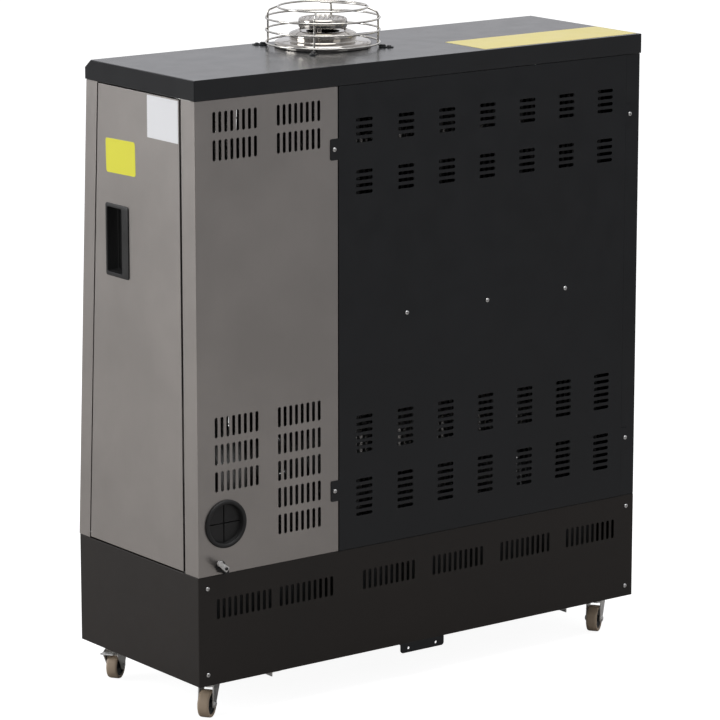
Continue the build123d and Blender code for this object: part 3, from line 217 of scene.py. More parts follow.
def make_materials():
    """All the finishes by name."""
    tones = bpy.context.scene.heater_finish
    stainless = tuple(tones.stainless)
    black = tuple(tones.black_paint)
    return {
        "stainless": metal("satin_stainless", stainless, 0.36, 0.04, (1, 1, 0.02), 1400.0, 0.10, 0.05),
        "black": coating("black_powder_coat", black, 0.40),
        "lid": coating("lid_powder_coat", black, 0.235, 1600.0, 0.03, 0.75, 0.012),
        "skirt": coating("skirt_powder_coat", tuple(tones.skirt_paint), 0.42),
        "zinc": metal("zinc_plate", (0.82, 0.82, 0.80), 0.40, 0.08, (1, 1, 1), 160.0, 0.08, 0.10),
        "zinc_sheet": metal("galvanised_sheet", (0.60, 0.61, 0.61), 0.34, 0.08, (1, 1, 1), 60.0, 0.06, 0.12),
        "bright_sheet": metal("inner_sheet", (0.20, 0.20, 0.20), 0.42, 0.08, (1, 1, 1), 80.0, 0.06, 0.06),
        "mirror": metal("reflector_sheet", (0.86, 0.85, 0.83), 0.14, 0.03, (1, 1, 0.05), 500.0, 0.05, 0.02),
        "chrome": metal("polished_steel", (0.52, 0.495, 0.46), 0.09, 0.03, (1, 1, 1), 30.0, 0.02, 0.02),
        "wire": metal("nickel_wire", (0.66, 0.64, 0.60), 0.20, 0.06, (1, 1, 1), 200.0, 0.05, 0.04),
        "inner": metal("window_trim", (0.30, 0.30, 0.30), 0.45, 0.06, (1, 1, 1), 200.0, 0.05, 0.06),
        "emitter": coating("ceramic_coat", (0.030, 0.028, 0.026), 0.62, 500.0, 0.4),
        "alloy": metal("cast_alloy", (0.58, 0.58, 0.57), 0.48, 0.06, (1, 1, 1), 700.0, 0.5, 0.05),
        "copper": metal("copper_tube", (0.83, 0.46, 0.31), 0.28, 0.08, (1, 1, 1), 90.0, 0.05, 0.12),
        "tank": coating("tank_coat", (0.05, 0.053, 0.055), 0.45),
        "plastic": coating("black_plastic", (0.013, 0.013, 0.0135), 0.36, 1500.0, 0.2),
        "rubber": coating("black_rubber", (0.012, 0.012, 0.012), 0.55, 1100.0, 0.2),
        "button": coating("grey_plastic", (0.16, 0.16, 0.165), 0.42, 1500.0, 0.2),
        "red": coating("red_plastic", (0.42, 0.016, 0.012), 0.40, 1500.0, 0.2),
        "tread": coating("wheel_tread", tuple(tones.wheel_tread), 0.50, 400.0, 0.2, 0.4),
        "hub": coating("hub_plastic", (0.030, 0.034, 0.035), 0.40, 900.0, 0.2, 0.5),
        "screw": metal("screw_zinc", (0.78, 0.78, 0.77), 0.30, 0.06, (1, 1, 1), 400.0, 0.05, 0.05),
        "pale_metal": metal("lever_zinc", (0.80, 0.80, 0.79), 0.42, 0.06, (1, 1, 1), 400.0, 0.06, 0.06),
        "white_label": coating("white_label", (0.93, 0.94, 0.96), 0.32, 300.0, 0.04, 0.5, 0.03, 0.01),
        "yellow_label": coating("yellow_label", tuple(tones.label_yellow), 0.32, 300.0, 0.04, 0.5, 0.03, 0.01),
        "pale_label": coating("pale_label", tuple(tones.label_pale), 0.36, 300.0, 0.04, 0.5, 0.03, 0.02),
        "glass": glass("display_glass", (0.004, 0.005, 0.006)),
    }


# Shapes: each function gives a list of (points, faces), in metres


def grid(points, wrap_across=True, wrap_along=False):
    """Quads over a grid of points, rows by columns, wrapped round either way."""
    rows, columns = points.shape[:2]
    i = np.arange(rows if wrap_along else rows - 1)[:, None]
    j = np.arange(columns if wrap_across else columns - 1)[None, :]
    i2, j2 = (i + 1) % rows, (j + 1) % columns
    faces = np.stack((i * columns + j, i * columns + j2, i2 * columns + j2, i2 * columns + j), -1)
    return points.reshape(-1, 3), faces.reshape(-1, 4).tolist()


def capped(points):
    """A wrapped grid whose first and last rings are closed by one face each."""
    places, faces = grid(points)
    rows, columns = points.shape[:2]
    last = (rows - 1) * columns
    faces.append(list(range(columns))[::-1])
    faces.append(list(range(last, last + columns)))
    return places, faces


def axes_of(direction, upward=(0, 0, 1)):
    """Two unit vectors across the direction, right handed with it."""
    d = np.asarray(direction, float)
    d = d / np.linalg.norm(d)
    u = np.cross(np.asarray(upward, float), d)
    if np.linalg.norm(u) < 1e-6:
        u = np.cross((1.0, 0.0, 0.0), d)
    u = u / np.linalg.norm(u)
    return u, np.cross(d, u), d


def turned(profile, centre, direction=(0, 0, 1), steps=48):
    """Surface of revolution: radius r at height h goes to centre + h*d + r*(cos a * u + sin a * v)."""
    u, v, d = axes_of(direction)
    r, h = np.asarray(profile, float).T
    a = np.linspace(0, TAU, steps, endpoint=False)
    ring = np.cos(a)[:, None] * u + np.sin(a)[:, None] * v
    points = np.asarray(centre) + h[:, None, None] * d + r[:, None, None] * ring[None]
    return capped(points)


def rod(start, end, radius, steps=12, rounding=0.0):
    """A straight round bar from start to end, with its ends drawn in over the rounding."""
    start, end = np.asarray(start, float), np.asarray(end, float)
    length = np.linalg.norm(end - start)
    if rounding:
        t = np.linspace(0, math.pi / 2, 4)
        low = np.column_stack((radius - rounding + rounding * np.sin(t), rounding - rounding * np.cos(t)))
        high = np.column_stack((low[::-1, 0], length - low[::-1, 1]))
        profile = np.vstack((low, high))
    else:
        profile = np.array(((radius, 0.0), (radius, length)))
    return turned(profile, start, end - start, steps)


def swept(path, radius, closed=False, steps=10):
    """A round wire whose ring at each point lies across the path's own direction there."""
    path = np.asarray(path, float)
    if closed:
        ahead = np.roll(path, -1, 0) - np.roll(path, 1, 0)
    else:
        ahead = np.gradient(path, axis=0)
    d = ahead / np.linalg.norm(ahead, axis=1, keepdims=True)
    up = np.array((0.0, 0.0, 1.0)) if abs(d[:, 2]).max() < 0.95 else np.array((0.31, 0.95, 0.0))
    u = np.cross(up, d)
    u /= np.linalg.norm(u, axis=1, keepdims=True)
    v = np.cross(d, u)
    a = np.linspace(0, TAU, steps, endpoint=False)
    ring = np.cos(a)[None, :, None] * u[:, None] + np.sin(a)[None, :, None] * v[:, None]
    points = path[:, None] + radius * ring
    if closed:
        return grid(points, True, True)
    return capped(points)


def hoop(centre, radius, wire, count=72, steps=10, direction=(0, 0, 1)):
    """A closed round ring of wire."""
    u, v, _ = axes_of(direction)
    a = np.linspace(0, TAU, count, endpoint=False)
    path = np.asarray(centre) + radius * (np.cos(a)[:, None] * u + np.sin(a)[:, None] * v)
    return swept(path, wire, True, steps)


def rounded_outline(width, height, corner, steps=6):
    """Corner arcs of a rounded rectangle round the origin, as points in its plane."""
    a = np.linspace(0, math.pi / 2, steps)
    arc = np.column_stack((np.cos(a), np.sin(a))) * corner
    turns = []
    for k, (sx, sy) in enumerate(((1, 1), (-1, 1), (-1, -1), (1, -1))):
        c, s = math.cos(k * math.pi / 2), math.sin(k * math.pi / 2)
        place = (sx * (width / 2 - corner), sy * (height / 2 - corner))
        turns.append(arc @ np.array(((c, s), (-s, c))) + place)
    return np.vstack(turns)


def unit_rows(vectors):
    """Each row at unit length."""
    return vectors / np.maximum(np.linalg.norm(vectors, axis=1, keepdims=True), 1e-9)


def slab(outline, levels, centre, u, v):
    """A closed plate: the outline shrinks by inset at each height along the normal of u and v."""
    u, v = np.asarray(u, float), np.asarray(v, float)
    n = np.cross(u, v)
    outline = np.asarray(outline, float)
    before = outline - np.roll(outline, 1, 0)
    after = np.roll(outline, -1, 0) - outline
    along = unit_rows(unit_rows(before) + unit_rows(after))
    outward = np.column_stack((along[:, 1], -along[:, 0]))
    rings = []
    for inset, height in levels:
        flat = outline - outward * inset
        rings.append(np.asarray(centre) + flat[:, :1] * u + flat[:, 1:] * v + height * n)
    return capped(np.array(rings))


def soft_levels(thickness, rounding, base=0.0):
    """Insets and heights of a plate whose upper edge is a quarter round."""
    t = np.linspace(0, math.pi / 2, 5)
    upper = [(rounding - rounding * math.cos(k), thickness - rounding + rounding * math.sin(k)) for k in t]
    return [(0.0, base)] + upper


def painted_cross_shade(centre, direction, radius, depth):
    """Two crossed thin slabs, sunk into the top of a screw head and given a dark finish: painted shade where the
    cross recess would be.
    """
    u, v, d = axes_of(direction)
    shapes = []
    for a, b in ((u, v), (v, -u)):
        outline = rounded_outline(2 * radius, radius * 0.42, radius * 0.12, 3)
        shapes.append(slab(outline, [(0.0, 0.0), (0.0, depth)], np.asarray(centre), a, b))
    return shapes


def made(name, shapes, smooth=32.0):
    """One mesh object from several closed shapes, smooth up to the given angle between faces."""
    places, faces, start = [], [], 0
    for points, members in shapes:
        places.append(points)
        faces.extend([[k + start for k in face] for face in members])
        start += len(points)
    mesh = bpy.data.meshes.new(name)
    mesh.from_pydata(np.vstack(places).tolist(), [], faces)
    work = bmesh.new()
    work.from_mesh(mesh)
    bmesh.ops.remove_doubles(work, verts=work.verts, dist=1e-7)
    bmesh.ops.recalc_face_normals(work, faces=work.faces)
    limit = math.radians(smooth)
    for edge in work.edges:
        edge.smooth = len(edge.link_faces) == 2 and edge.calc_face_angle(0) < limit
    for face in work.faces:
        face.smooth = True
    work.to_mesh(mesh)
    work.free()
    piece = bpy.data.objects.new(name, mesh)
    bpy.context.scene.collection.objects.link(piece)
    return piece


# Pieces


def softened(node, material, width, shortest=0.045, segments=3, steep=50.0):
    """A merged copy of a CAD node whose long steep edges are rounded, in place of the node."""
    source = frame["nodes"][node]
    mesh = bpy.data.meshes.new(node + "_soft")
    work = bmesh.new()
    work.from_mesh(source.data)
    bmesh.ops.remove_doubles(work, verts=work.verts, dist=0.000005)
    bmesh.ops.dissolve_limit(work, angle_limit=math.radians(0.5), verts=work.verts, edges=work.edges)
    weight = work.edges.layers.float.new("bevel_weight_edge")
    limit = math.radians(steep)
    for edge in work.edges:
        if len(edge.link_faces) == 2 and edge.calc_length() > shortest:
            edge[weight] = 1.0 if edge.calc_face_angle(0) > limit else 0.0
    for face in work.faces:
        face.smooth = False
    work.to_mesh(mesh)
    work.free()
    piece = bpy.data.objects.new(node + "_soft", mesh)
    bpy.context.scene.collection.objects.link(piece)
    bevel = piece.modifiers.new("rounding", "BEVEL")
    bevel.width = width
    bevel.segments = segments
    bevel.limit_method = "WEIGHT"
    bevel.use_clamp_overlap = False
    return finish(piece, body_of(node), material, (node,))


def finish(piece, body, material, replaced=()):
    """Gives a new piece its material and body, and hides the nodes that it stands for."""
    piece.data.materials.clear()
    piece.data.materials.append(material)
    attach(piece, body)
    if replaced:
        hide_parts(*replaced)
    return piece


def body_of(node):
    """Name of the body that a CAD node belongs to."""
    for body, members in frame["record"]["behaviour"]["bodies"].items():
        if node in members:
            return body
    raise RuntimeError("no body holds " + node)


def painted(node, material):
    """A CAD node that keeps its shape and takes a finish."""
    source = frame["nodes"][node]
    source.data.materials.clear()
    source.data.materials.append(material)


def looks():
    """The finishes, made once."""
    if not FINISHES:
        FINISHES.update(make_materials())
    return FINISHES


def on_back(u, z, out=0.0):
    """Point on the back plane: u from the door-side corner, z from the base's underside, both in mm."""
    return np.array(((500 - u) * MM, (192 + out) * MM, (70 + z) * MM))


def on_side(v, z, out=0.0):
    """Point on the door side: v from the back, z from the base's underside, both in mm."""
    return np.array(((500 + out) * MM, (192 - v) * MM, (70 + z) * MM))


class HEATER_OT_stage(bpy.types.Operator):
    """Make the camera, the pale floor and the soft studio light"""

    bl_idname = "heater.stage"
    bl_label = "Stage"

    def execute(self, context):
        settings = context.scene.heater_stage
        camera_data = bpy.data.cameras.new("studio_camera")
        camera_data.lens = settings.lens
        camera_data.sensor_width = 36
        camera_data.clip_end = 100
        camera = bpy.data.objects.new("studio_camera", camera_data)
        context.scene.collection.objects.link(camera)
        camera.location = settings.camera_place
        level = math.cos(settings.camera_tilt)
        forward = Vector((
            -math.sin(settings.camera_heading) * level,
            -math.cos(settings.camera_heading) * level,
            -math.sin(settings.camera_tilt),
        ))
        camera.rotation_euler = forward.to_track_quat("-Z", "Y").to_euler()
        context.scene.camera = camera
        make_floor(context, settings.floor_radius)
        make_light(context)
        context.scene.view_settings.view_transform = "Standard"
        return {"FINISHED"}


def make_floor(context, radius):
    """A flat disc at the height of the wheels' lowest points."""
    angle = np.linspace(0, TAU, 97)[:-1]
    rim = np.column_stack((radius * np.cos(angle), radius * np.sin(angle), np.zeros_like(angle)))
    mesh = bpy.data.meshes.new("floor")
    mesh.from_pydata(rim.tolist(), [], [list(range(len(rim)))])
    floor = bpy.data.objects.new("floor", mesh)
    context.scene.collection.objects.link(floor)
    material = bpy.data.materials.new("pale_floor")
    material.use_nodes = True
    tree = material.node_tree
    tree.nodes.clear()
    output = tree.nodes.new("ShaderNodeOutputMaterial")
    seen = tree.nodes.new("ShaderNodeLightPath")
    pale = tree.nodes.new("ShaderNodeBsdfDiffuse")
    pale.inputs["Color"].default_value = (0.34, 0.34, 0.34, 1)
    lift = tree.nodes.new("ShaderNodeEmission")
    lift.inputs["Strength"].default_value = 0.93
    both = tree.nodes.new("ShaderNodeAddShader")
    dim = tree.nodes.new("ShaderNodeBsdfDiffuse")
    dim.inputs["Color"].default_value = (0.34, 0.33, 0.32, 1)
    mix = tree.nodes.new("ShaderNodeMixShader")
    tree.links.new(pale.outputs[0], both.inputs[0])
    tree.links.new(lift.outputs[0], both.inputs[1])
    tree.links.new(seen.outputs["Is Camera Ray"], mix.inputs["Fac"])
    tree.links.new(dim.outputs[0], mix.inputs[1])
    tree.links.new(both.outputs[0], mix.inputs[2])
    tree.links.new(mix.outputs[0], output.inputs["Surface"])
    mesh.materials.append(material)


def make_light(context):
    """Soft studio light: a world that is brighter behind the heater, and three large area lights."""
    world = bpy.data.worlds.new("studio")
    context.scene.world = world
    world.use_nodes = True
    tree = world.node_tree
    tree.nodes.clear()
    output = tree.nodes.new("ShaderNodeOutputWorld")
    where = tree.nodes.new("ShaderNodeTexCoord")
    towards = tree.nodes.new("ShaderNodeVectorMath")
    towards.operation = "DOT_PRODUCT"
    towards.inputs[1].default_value = (-0.55, -0.80, 0.25)
    tree.links.new(where.outputs["Generated"], towards.inputs[0])
    ramp = tree.nodes.new("ShaderNodeValToRGB")
    ramp.color_ramp.elements[0].position = 0.0
    ramp.color_ramp.elements[0].color = (0.20, 0.20, 0.205, 1)
    ramp.color_ramp.elements[1].position = 0.9
    ramp.color_ramp.elements[1].color = (1.25, 1.25, 1.30, 1)
    half = tree.nodes.new("ShaderNodeMapRange")
    half.inputs["From Min"].default_value = -1.0
    tree.links.new(towards.outputs["Value"], half.inputs["Value"])
    tree.links.new(half.outputs["Result"], ramp.inputs["Fac"])
    studio = tree.nodes.new("ShaderNodeBackground")
    studio.inputs["Strength"].default_value = 0.62
    tree.links.new(ramp.outputs["Color"], studio.inputs["Color"])
    backdrop = tree.nodes.new("ShaderNodeBackground")
    backdrop.inputs["Color"].default_value = (1, 1, 1, 1)
    seen = tree.nodes.new("ShaderNodeLightPath")
    mix = tree.nodes.new("ShaderNodeMixShader")
    tree.links.new(seen.outputs["Is Camera Ray"], mix.inputs["Fac"])
    tree.links.new(studio.outputs[0], mix.inputs[1])
    tree.links.new(backdrop.outputs[0], mix.inputs[2])
    tree.links.new(mix.outputs[0], output.inputs["Surface"])
    lamps = (
        ("over_light", (0.4, 0.6, 4.2), (0, 0, 0.4), 3.2, 90.0),
        ("door_light", (4.4, -2.4, 2.0), (0.8, -0.6, 0.1), 2.6, 105.0),
        ("back_light", (-1.2, 5.2, 2.6), (0, 0.2, 0.6), 2.6, 14.0),
    )
    for name, place, target, size, power in lamps:
        data = bpy.data.lights.new(name, "AREA")
        data.shape = "DISK"
        data.size = size
        data.energy = power
        lamp = bpy.data.objects.new(name, data)
        context.scene.collection.objects.link(lamp)
        lamp.location = place
        lamp.rotation_euler = (Vector(target) - Vector(place)).to_track_quat("-Z", "Y").to_euler()


class HEATER_OT_sheets(bpy.types.Operator):
    """Give the folded sheets their coats and soften their long folds"""

    bl_idname = "heater.sheets"
    bl_label = "Sheets"

    # node: finish, rounding in mm, shortest edge in mm
    folds = {
        "rear_panel": ("stainless", 0.9, 120),
        "side_door": ("stainless", 1.1, 120),
        "front_panel": ("stainless", 1.1, 120),
        "rear_cover": ("black", 0.5, 120),
        "far_side_panel": ("black", 0.9, 120),
        "top_lid": ("lid", 1.3, 16),
        "base_tray": ("skirt", 1.0, 120),
        "base_rear_panel": ("skirt", 0.5, 120),
        "base_stiffeners": ("zinc", 0.5, 15),
        "anchor_bracket": ("black", 0.5, 15),
    }

    def execute(self, context):
        for node, (look, width, shortest) in self.folds.items():
            softened(node, looks()[look], width * MM, shortest * MM)
        return {"FINISHED"}


class HEATER_OT_insides(bpy.types.Operator):
    """Give the parts inside the base, service bay and heating chamber their finishes"""

    bl_idname = "heater.insides"
    bl_label = "Insides"

    finishes = {
        "base_deck": "zinc_sheet",
        "fuel_tank": "tank",
        "filler_neck": "zinc",
        "fuel_cap": "red",
        "fuel_gauge": "plastic",
        "bulkhead": "zinc_sheet",
        "inner_back_plate": "bright_sheet",
        "reflector": "mirror",
        "tube_brackets": "zinc",
        "burner_housing": "alloy",
        "burner_motor": "black",
        "burner_fan": "zinc",
        "ignition_box": "plastic",
        "fuel_pump": "zinc",
        "fuel_filter": "alloy",
        "fuel_lines": "copper",
        "control_box": "zinc_sheet",
        "hinge_pins": "zinc",
        "hinge_brackets": "zinc",
    }

    def execute(self, context):
        for node, look in self.finishes.items():
            painted(node, looks()[look])
        return {"FINISHED"}


class HEATER_OT_emitter(bpy.types.Operator):
    """Build the emitter tube in its six passes, and the wire guard before it"""

    bl_idname = "heater.emitter"
    bl_label = "Emitter"

    def execute(self, context):
        tube = made("emitter_tube", [tube_passes()], 60)
        finish(tube, "cabinet", looks()["emitter"], ("emitter_tubes",))
        seal = made("door_seal", [leaning_strip(0.4775, 0.4834, 0.020, 0.054, 0.2715, 1.1085)], 30)
        finish(seal, "cabinet", looks()["rubber"])
        strip = made("window_edge", [leaning_strip(0.1757, 0.1890, 0.0018, 0.0036, 0.338, 1.042)], 30)
        finish(strip, "cabinet", looks()["inner"])
        guard = made("window_guard", guard_wires(), 60)
        finish(guard, "cabinet", looks()["wire"], ("front_guard",))
        return {"FINISHED"}


def leaning_strip(x0, x1, y0, y1, low, high):
    """A strip behind the front: a level rectangle, y0 to y1 behind it, carried up the front's slope."""
    lean = 46.5 / 841.5
    z = np.linspace(low, high, 24)
    y = -0.192 + lean * (z - 0.269)
    c = 0.0004
    corner = np.array(((x0, y0), (x1 - c, y0), (x1, y0 + c), (x1, y1 - c), (x1 - c, y1), (x0, y1)))
    points = np.empty((len(z), len(corner), 3))
    points[..., 0] = corner[:, 0]
    points[..., 1] = y[:, None] + corner[:, 1]
    points[..., 2] = z[:, None]
    return capped(points)


def tube_passes():
    """Centre line of runs along X joined by half circles, then a quarter turn up into the flue."""
    y, low, pitch = -0.024, 0.400, 0.095
    far, bend_x, start, flue_x, elbow = -0.350, 0.045, 0.182, 0.070, 0.060
    bow = pitch / 2
    half = np.linspace(-math.pi / 2, math.pi / 2, 17)
    runs = [np.column_stack((np.linspace(start, far, 9), np.full(9, low)))]
    for i in range(1, 6):
        sign, x = (-1, far) if i % 2 else (1, bend_x)
        middle = low + (i - 0.5) * pitch
        runs.append(np.column_stack((x + sign * bow * np.cos(half), middle + bow * np.sin(half)))[1:])
        if i < 5:
            other = bend_x if i % 2 else far
            runs.append(np.column_stack((np.linspace(x, other, 9), np.full(9, low + i * pitch)))[1:])
    top = low + 5 * pitch
    runs.append(np.column_stack((np.linspace(far, flue_x - elbow, 9), np.full(9, top)))[1:])
    quarter = np.linspace(0, math.pi / 2, 11)[1:]
    runs.append(np.column_stack((flue_x - elbow + elbow * np.sin(quarter), top + elbow * (1 - np.cos(quarter)))))
    runs.append(np.column_stack((np.full(5, flue_x), np.linspace(top + elbow, 1.1485, 6)[1:])))
    flat = np.vstack(runs)
    path = np.column_stack((flat[:, 0], np.full(len(flat), y), flat[:, 1]))
    ahead = np.gradient(path, axis=0)
    d = ahead / np.linalg.norm(ahead, axis=1, keepdims=True)
    u = np.tile((0.0, 1.0, 0.0), (len(path), 1))
    v = np.cross(d, u)
    a = np.linspace(0, TAU, 40, endpoint=False)
    ring = np.cos(a)[None, :, None] * u[:, None] + np.sin(a)[None, :, None] * v[:, None]
    outer = path[:, None] + 0.030 * ring
    inner = (path[:, None] + 0.0285 * ring)[::-1]
    return grid(np.concatenate((outer, inner)), True, True)


def guard_wires():
    """Straight wires across and up the window, on stand-off feet, all in the leaning front's plane."""
    lean = math.atan(46.5 / 841.5)
    rise = np.array((0.0, math.sin(lean), math.cos(lean)))
    out = np.array((0.0, -math.cos(lean), math.sin(lean)))
    corner = np.array((0.0, -0.192, 0.269))

    def at(x, s, off):
        return corner + np.array((x, 0.0, 0.0)) + rise * s + out * off

    low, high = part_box("front_guard")
    x0, x1 = low[0] + 0.003, high[0] - 0.003
    s0 = 0.076 / math.cos(lean) - 0.016
    s1 = 0.766 / math.cos(lean) + 0.016
    count = int((s1 - s0) / 0.023)
    shapes = []
    for i in range(count + 1):
        s = s0 + i * (s1 - s0) / count
        if i in (0, count):
            shapes.append(rod(at(x0, s, 0.020), at(x1, s, 0.020), 0.0028, 12))
        else:
            shapes.append(rod(at(x0, s, 0.0195), at(x1, s, 0.0195), 0.0016, 8))
    middle = (x0 + x1) / 2
    for share, radius in ((-1, 0.003), (-0.62, 0.0016), (0, 0.0016), (0.62, 0.0016), (1, 0.003)):
        x = middle + share * (x1 - x0) / 2
        off = 0.020 if abs(share) == 1 else 0.0222
        shapes.append(rod(at(x, s0 - 0.002, off), at(x, s1 + 0.002, off), radius, 12, 0.001))
    for x in (x0, x1):
        for s in (s0, (s0 + s1) / 2, s1):
            shapes.append(rod(at(x, s, 0.0002), at(x, s, 0.020), 0.0025, 12))
            shapes.append(turned([(0.0065, 0.0), (0.0065, 0.0010), (0.0055, 0.0018), (0.0025, 0.0020)],
                                 at(x, s, 0.0001), out, 24))
    return shapes


class HEATER_OT_controls(bpy.types.Operator):
    """Finish the control bezel, its display and its four buttons"""

    bl_idname = "heater.controls"
    bl_label = "Controls"

    def execute(self, context):
        softened("control_panel", looks()["plastic"], 0.7 * MM, 0.02)
        painted("display_window", looks()["glass"])
        for name in ("power", "mode", "warmer", "cooler"):
            softened("button_" + name, looks()["button"], 0.3 * MM, 0.006)
        return {"FINISHED"}


class HEATER_OT_door(bpy.types.Operator):
    """Finish the door's pull and its two blank labels"""

    bl_idname = "heater.door"
    bl_label = "Door details"

    def execute(self, context):
        pull = made("door_grip", pull_shapes(), 35)
        finish(pull, "door", looks()["plastic"], ("door_pull",))
        across, up = (0, 1, 0), (0, 0, 1)
        levels = [(0, 0.00001), (0, 0.00020), (0.0001, 0.00028)]
        white = made("white_door_label", [
            slab(rounded_outline(0.095, 0.0746, 0.0008), levels, on_side(97.5, 998.3), across, up),
        ])
        finish(white, "door", looks()["white_label"], ("door_labels",))
        turn = math.radians(1.5)
        yellow = made("yellow_door_label", [
            slab(rounded_outline(0.093, 0.061, 0.005), levels, on_side(230.5, 914.5),
                 (0, math.cos(turn), math.sin(turn)), (0, -math.sin(turn), math.cos(turn))),
        ])
        finish(yellow, "door", looks()["yellow_label"])
        return {"FINISHED"}


def pull_shapes():
    """Frame ring and recess: rounded outlines that step out, over the rim, down the well and across its floor."""
    across, up = np.array((0.0, 1.0, 0.0)), np.array((0.0, 0.0, 1.0))
    out = np.array((1.0, 0.0, 0.0))
    shift = -0.0077
    rings = []
    outer, inner = (0.072, 0.131), (0.0455, 0.116)
    steps = (
        (outer, 0.0, 0.0050, 0.0000),
        (outer, 0.0, 0.0050, 0.0010),
        (outer, -0.0008, 0.0045, 0.0019),
        (outer, -0.0022, 0.0040, 0.0022),
        (inner, 0.0022, 0.0040, 0.0022),
        (inner, 0.0006, 0.0034, 0.0014),
        (inner, 0.0, 0.0030, -0.0006),
        (inner, -0.0030, 0.0030, -0.0180),
        (inner, -0.0060, 0.0030, -0.0198),
        (inner, -0.0300, 0.0015, -0.0200),
    )
    for k, (size, grow, corner, height) in enumerate(steps):
        flat = rounded_outline(size[0] + grow, size[1] + grow, corner, 7)
        offset = shift if size is inner else 0.0
        rings.append(on_side(243, 763) + (flat[:, :1] + offset) * across + flat[:, 1:] * up + height * out)
    places, faces = grid(np.array(rings))
    count = len(rings[0])
    last = (len(rings) - 1) * count
    faces.append(list(range(last, last + count)))
    well = []
    for size, grow, corner, height in ((outer, 0.0, 0.005, 0.0), (inner, 0.005, 0.004, 0.0),
                                       (inner, 0.005, 0.004, -0.0220), (inner, -0.030, 0.0015, -0.0220)):
        flat = rounded_outline(size[0] + grow, size[1] + grow, corner, 7)
        offset = shift if size is inner else 0.0
        well.append(on_side(243, 763) + (flat[:, :1] + offset) * across + flat[:, 1:] * up + height * out)
    back, back_faces = grid(np.array(well))
    back_faces.append(list(range((len(well) - 1) * count, len(well) * count)))
    start = len(places)
    joined = faces + [[k + start for k in face] for face in back_faces]
    return [(np.vstack((places, back)), joined)]


class HEATER_OT_lid(bpy.types.Operator):
    """Lay the blank label on the lid"""

    bl_idname = "heater.lid_label"
    bl_label = "Lid label"

    def execute(self, context):
        low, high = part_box("lid_label")
        centre = ((low[0] + high[0]) / 2, (low[1] + high[1]) / 2, low[2])
        outline = rounded_outline(high[0] - low[0] - 0.0002, high[1] - low[1] - 0.0002, 0.002)
        label = made("lid_label_sheet", [
            slab(outline, [(0, 0.00001), (0, 0.0002), (0.0001, 0.00029)], centre, (1, 0, 0), (0, 1, 0)),
        ])
        finish(label, "cabinet", looks()["pale_label"], ("lid_label",))
        return {"FINISHED"}


FLUE = np.array((0.070, -0.024, 1.1465))


class HEATER_OT_flue(bpy.types.Operator):
    """Turn the flue's base and cap, and bend its wire guard"""

    bl_idname = "heater.flue"
    bl_label = "Flue"

    # radius and height of each profile point, in mm
    base = (
        (30.3, -34), (32.3, -34), (32.3, 0.0), (86.6, 0.0), (87.6, 0.5), (88.0, 1.4), (88.0, 5.6), (87.6, 7.6),
        (86.4, 9.4), (84.6, 10.5), (82.0, 11.0), (63.4, 11.0), (61.8, 11.5), (60.4, 12.8), (60.0, 14.4),
        (61.0, 16.4), (61.0, 22.6), (60.6, 24.0), (59.4, 25.2), (49.6, 29.2), (47.6, 29.9), (45.0, 30.0),
        (43.8, 29.4), (43.4, 28.4), (33.0, 28.0), (30.3, 27.6),
    )
    cap = (
        (0.0, 49.6), (42.0, 49.6), (42.6, 48.4), (42.6, 36.4), (43.2, 36.0), (43.8, 36.2), (44.0, 36.8),
        (44.0, 48.0), (43.6, 50.0), (42.4, 51.6), (40.4, 52.2), (38.6, 52.0), (38.0, 51.2), (0.0, 51.0),
    )

    def execute(self, context):
        base = made("flue_drum", [hollow_turned(np.array(self.base) * MM, FLUE)], 50)
        finish(base, "cabinet", looks()["chrome"], ("flue_base",))
        shell = turned(np.array(self.cap) * MM, FLUE, steps=96)
        cap = made("flue_lid", [shell] + cap_legs() + cap_slats(), 50)
        finish(cap, "cabinet", looks()["chrome"], ("flue_cap",))
        guard = made("flue_wire_guard", guard_hoops(), 60)
        finish(guard, "cabinet", looks()["wire"], ("flue_guard",))
        feet = made("flue_guard_feet", guard_feet(), 40)
        finish(feet, "cabinet", looks()["black"])
        return {"FINISHED"}


def hollow_turned(profile, centre, steps=96):
    """A closed profile loop turned about the upright axis through the centre."""
    a = np.linspace(0, TAU, steps, endpoint=False)
    r, h = profile.T
    points = np.stack((
        centre[0] + r[:, None] * np.cos(a), centre[1] + r[:, None] * np.sin(a),
        centre[2] + np.repeat(h[:, None], steps, 1),
    ), -1)
    return grid(points, True, True)


def cap_legs():
    """Four flat legs between the drum and the cap."""
    shapes = []
    for turn in np.radians((45, 135, 225, 315)):
        out = np.array((math.cos(turn), math.sin(turn), 0.0))
        across = np.array((-math.sin(turn), math.cos(turn), 0.0))
        place = FLUE + 0.0405 * out + np.array((0, 0, 0.0295))
        outline = rounded_outline(0.0030, 0.0080, 0.0008, 3)
        shapes.append(slab(outline, [(0, 0), (0, 0.0200)], place, out, across))
    return shapes


def cap_slats():
    """Nine leaning blades across the cap, each as long as the circle is wide there."""
    along = np.array((0.676, 0.737, 0.0))
    across = np.array((-0.737, 0.676, 0.0))
    lean = math.radians(10)
    tilted = math.cos(lean) * across + math.sin(lean) * np.array((0, 0, 1.0))
    shapes = []
    for k in range(-4, 5):
        offset = k * 0.0085
        half = math.sqrt(0.0385 ** 2 - offset ** 2) - 0.0022
        place = FLUE + offset * across + np.array((0, 0, 0.0515))
        outline = rounded_outline(2 * half, 0.0058, 0.0010, 4)
        shapes.append(slab(outline, [(0, -0.0005), (0, 0.0002), (0.0003, 0.0005)], place, along, tilted))
    return shapes


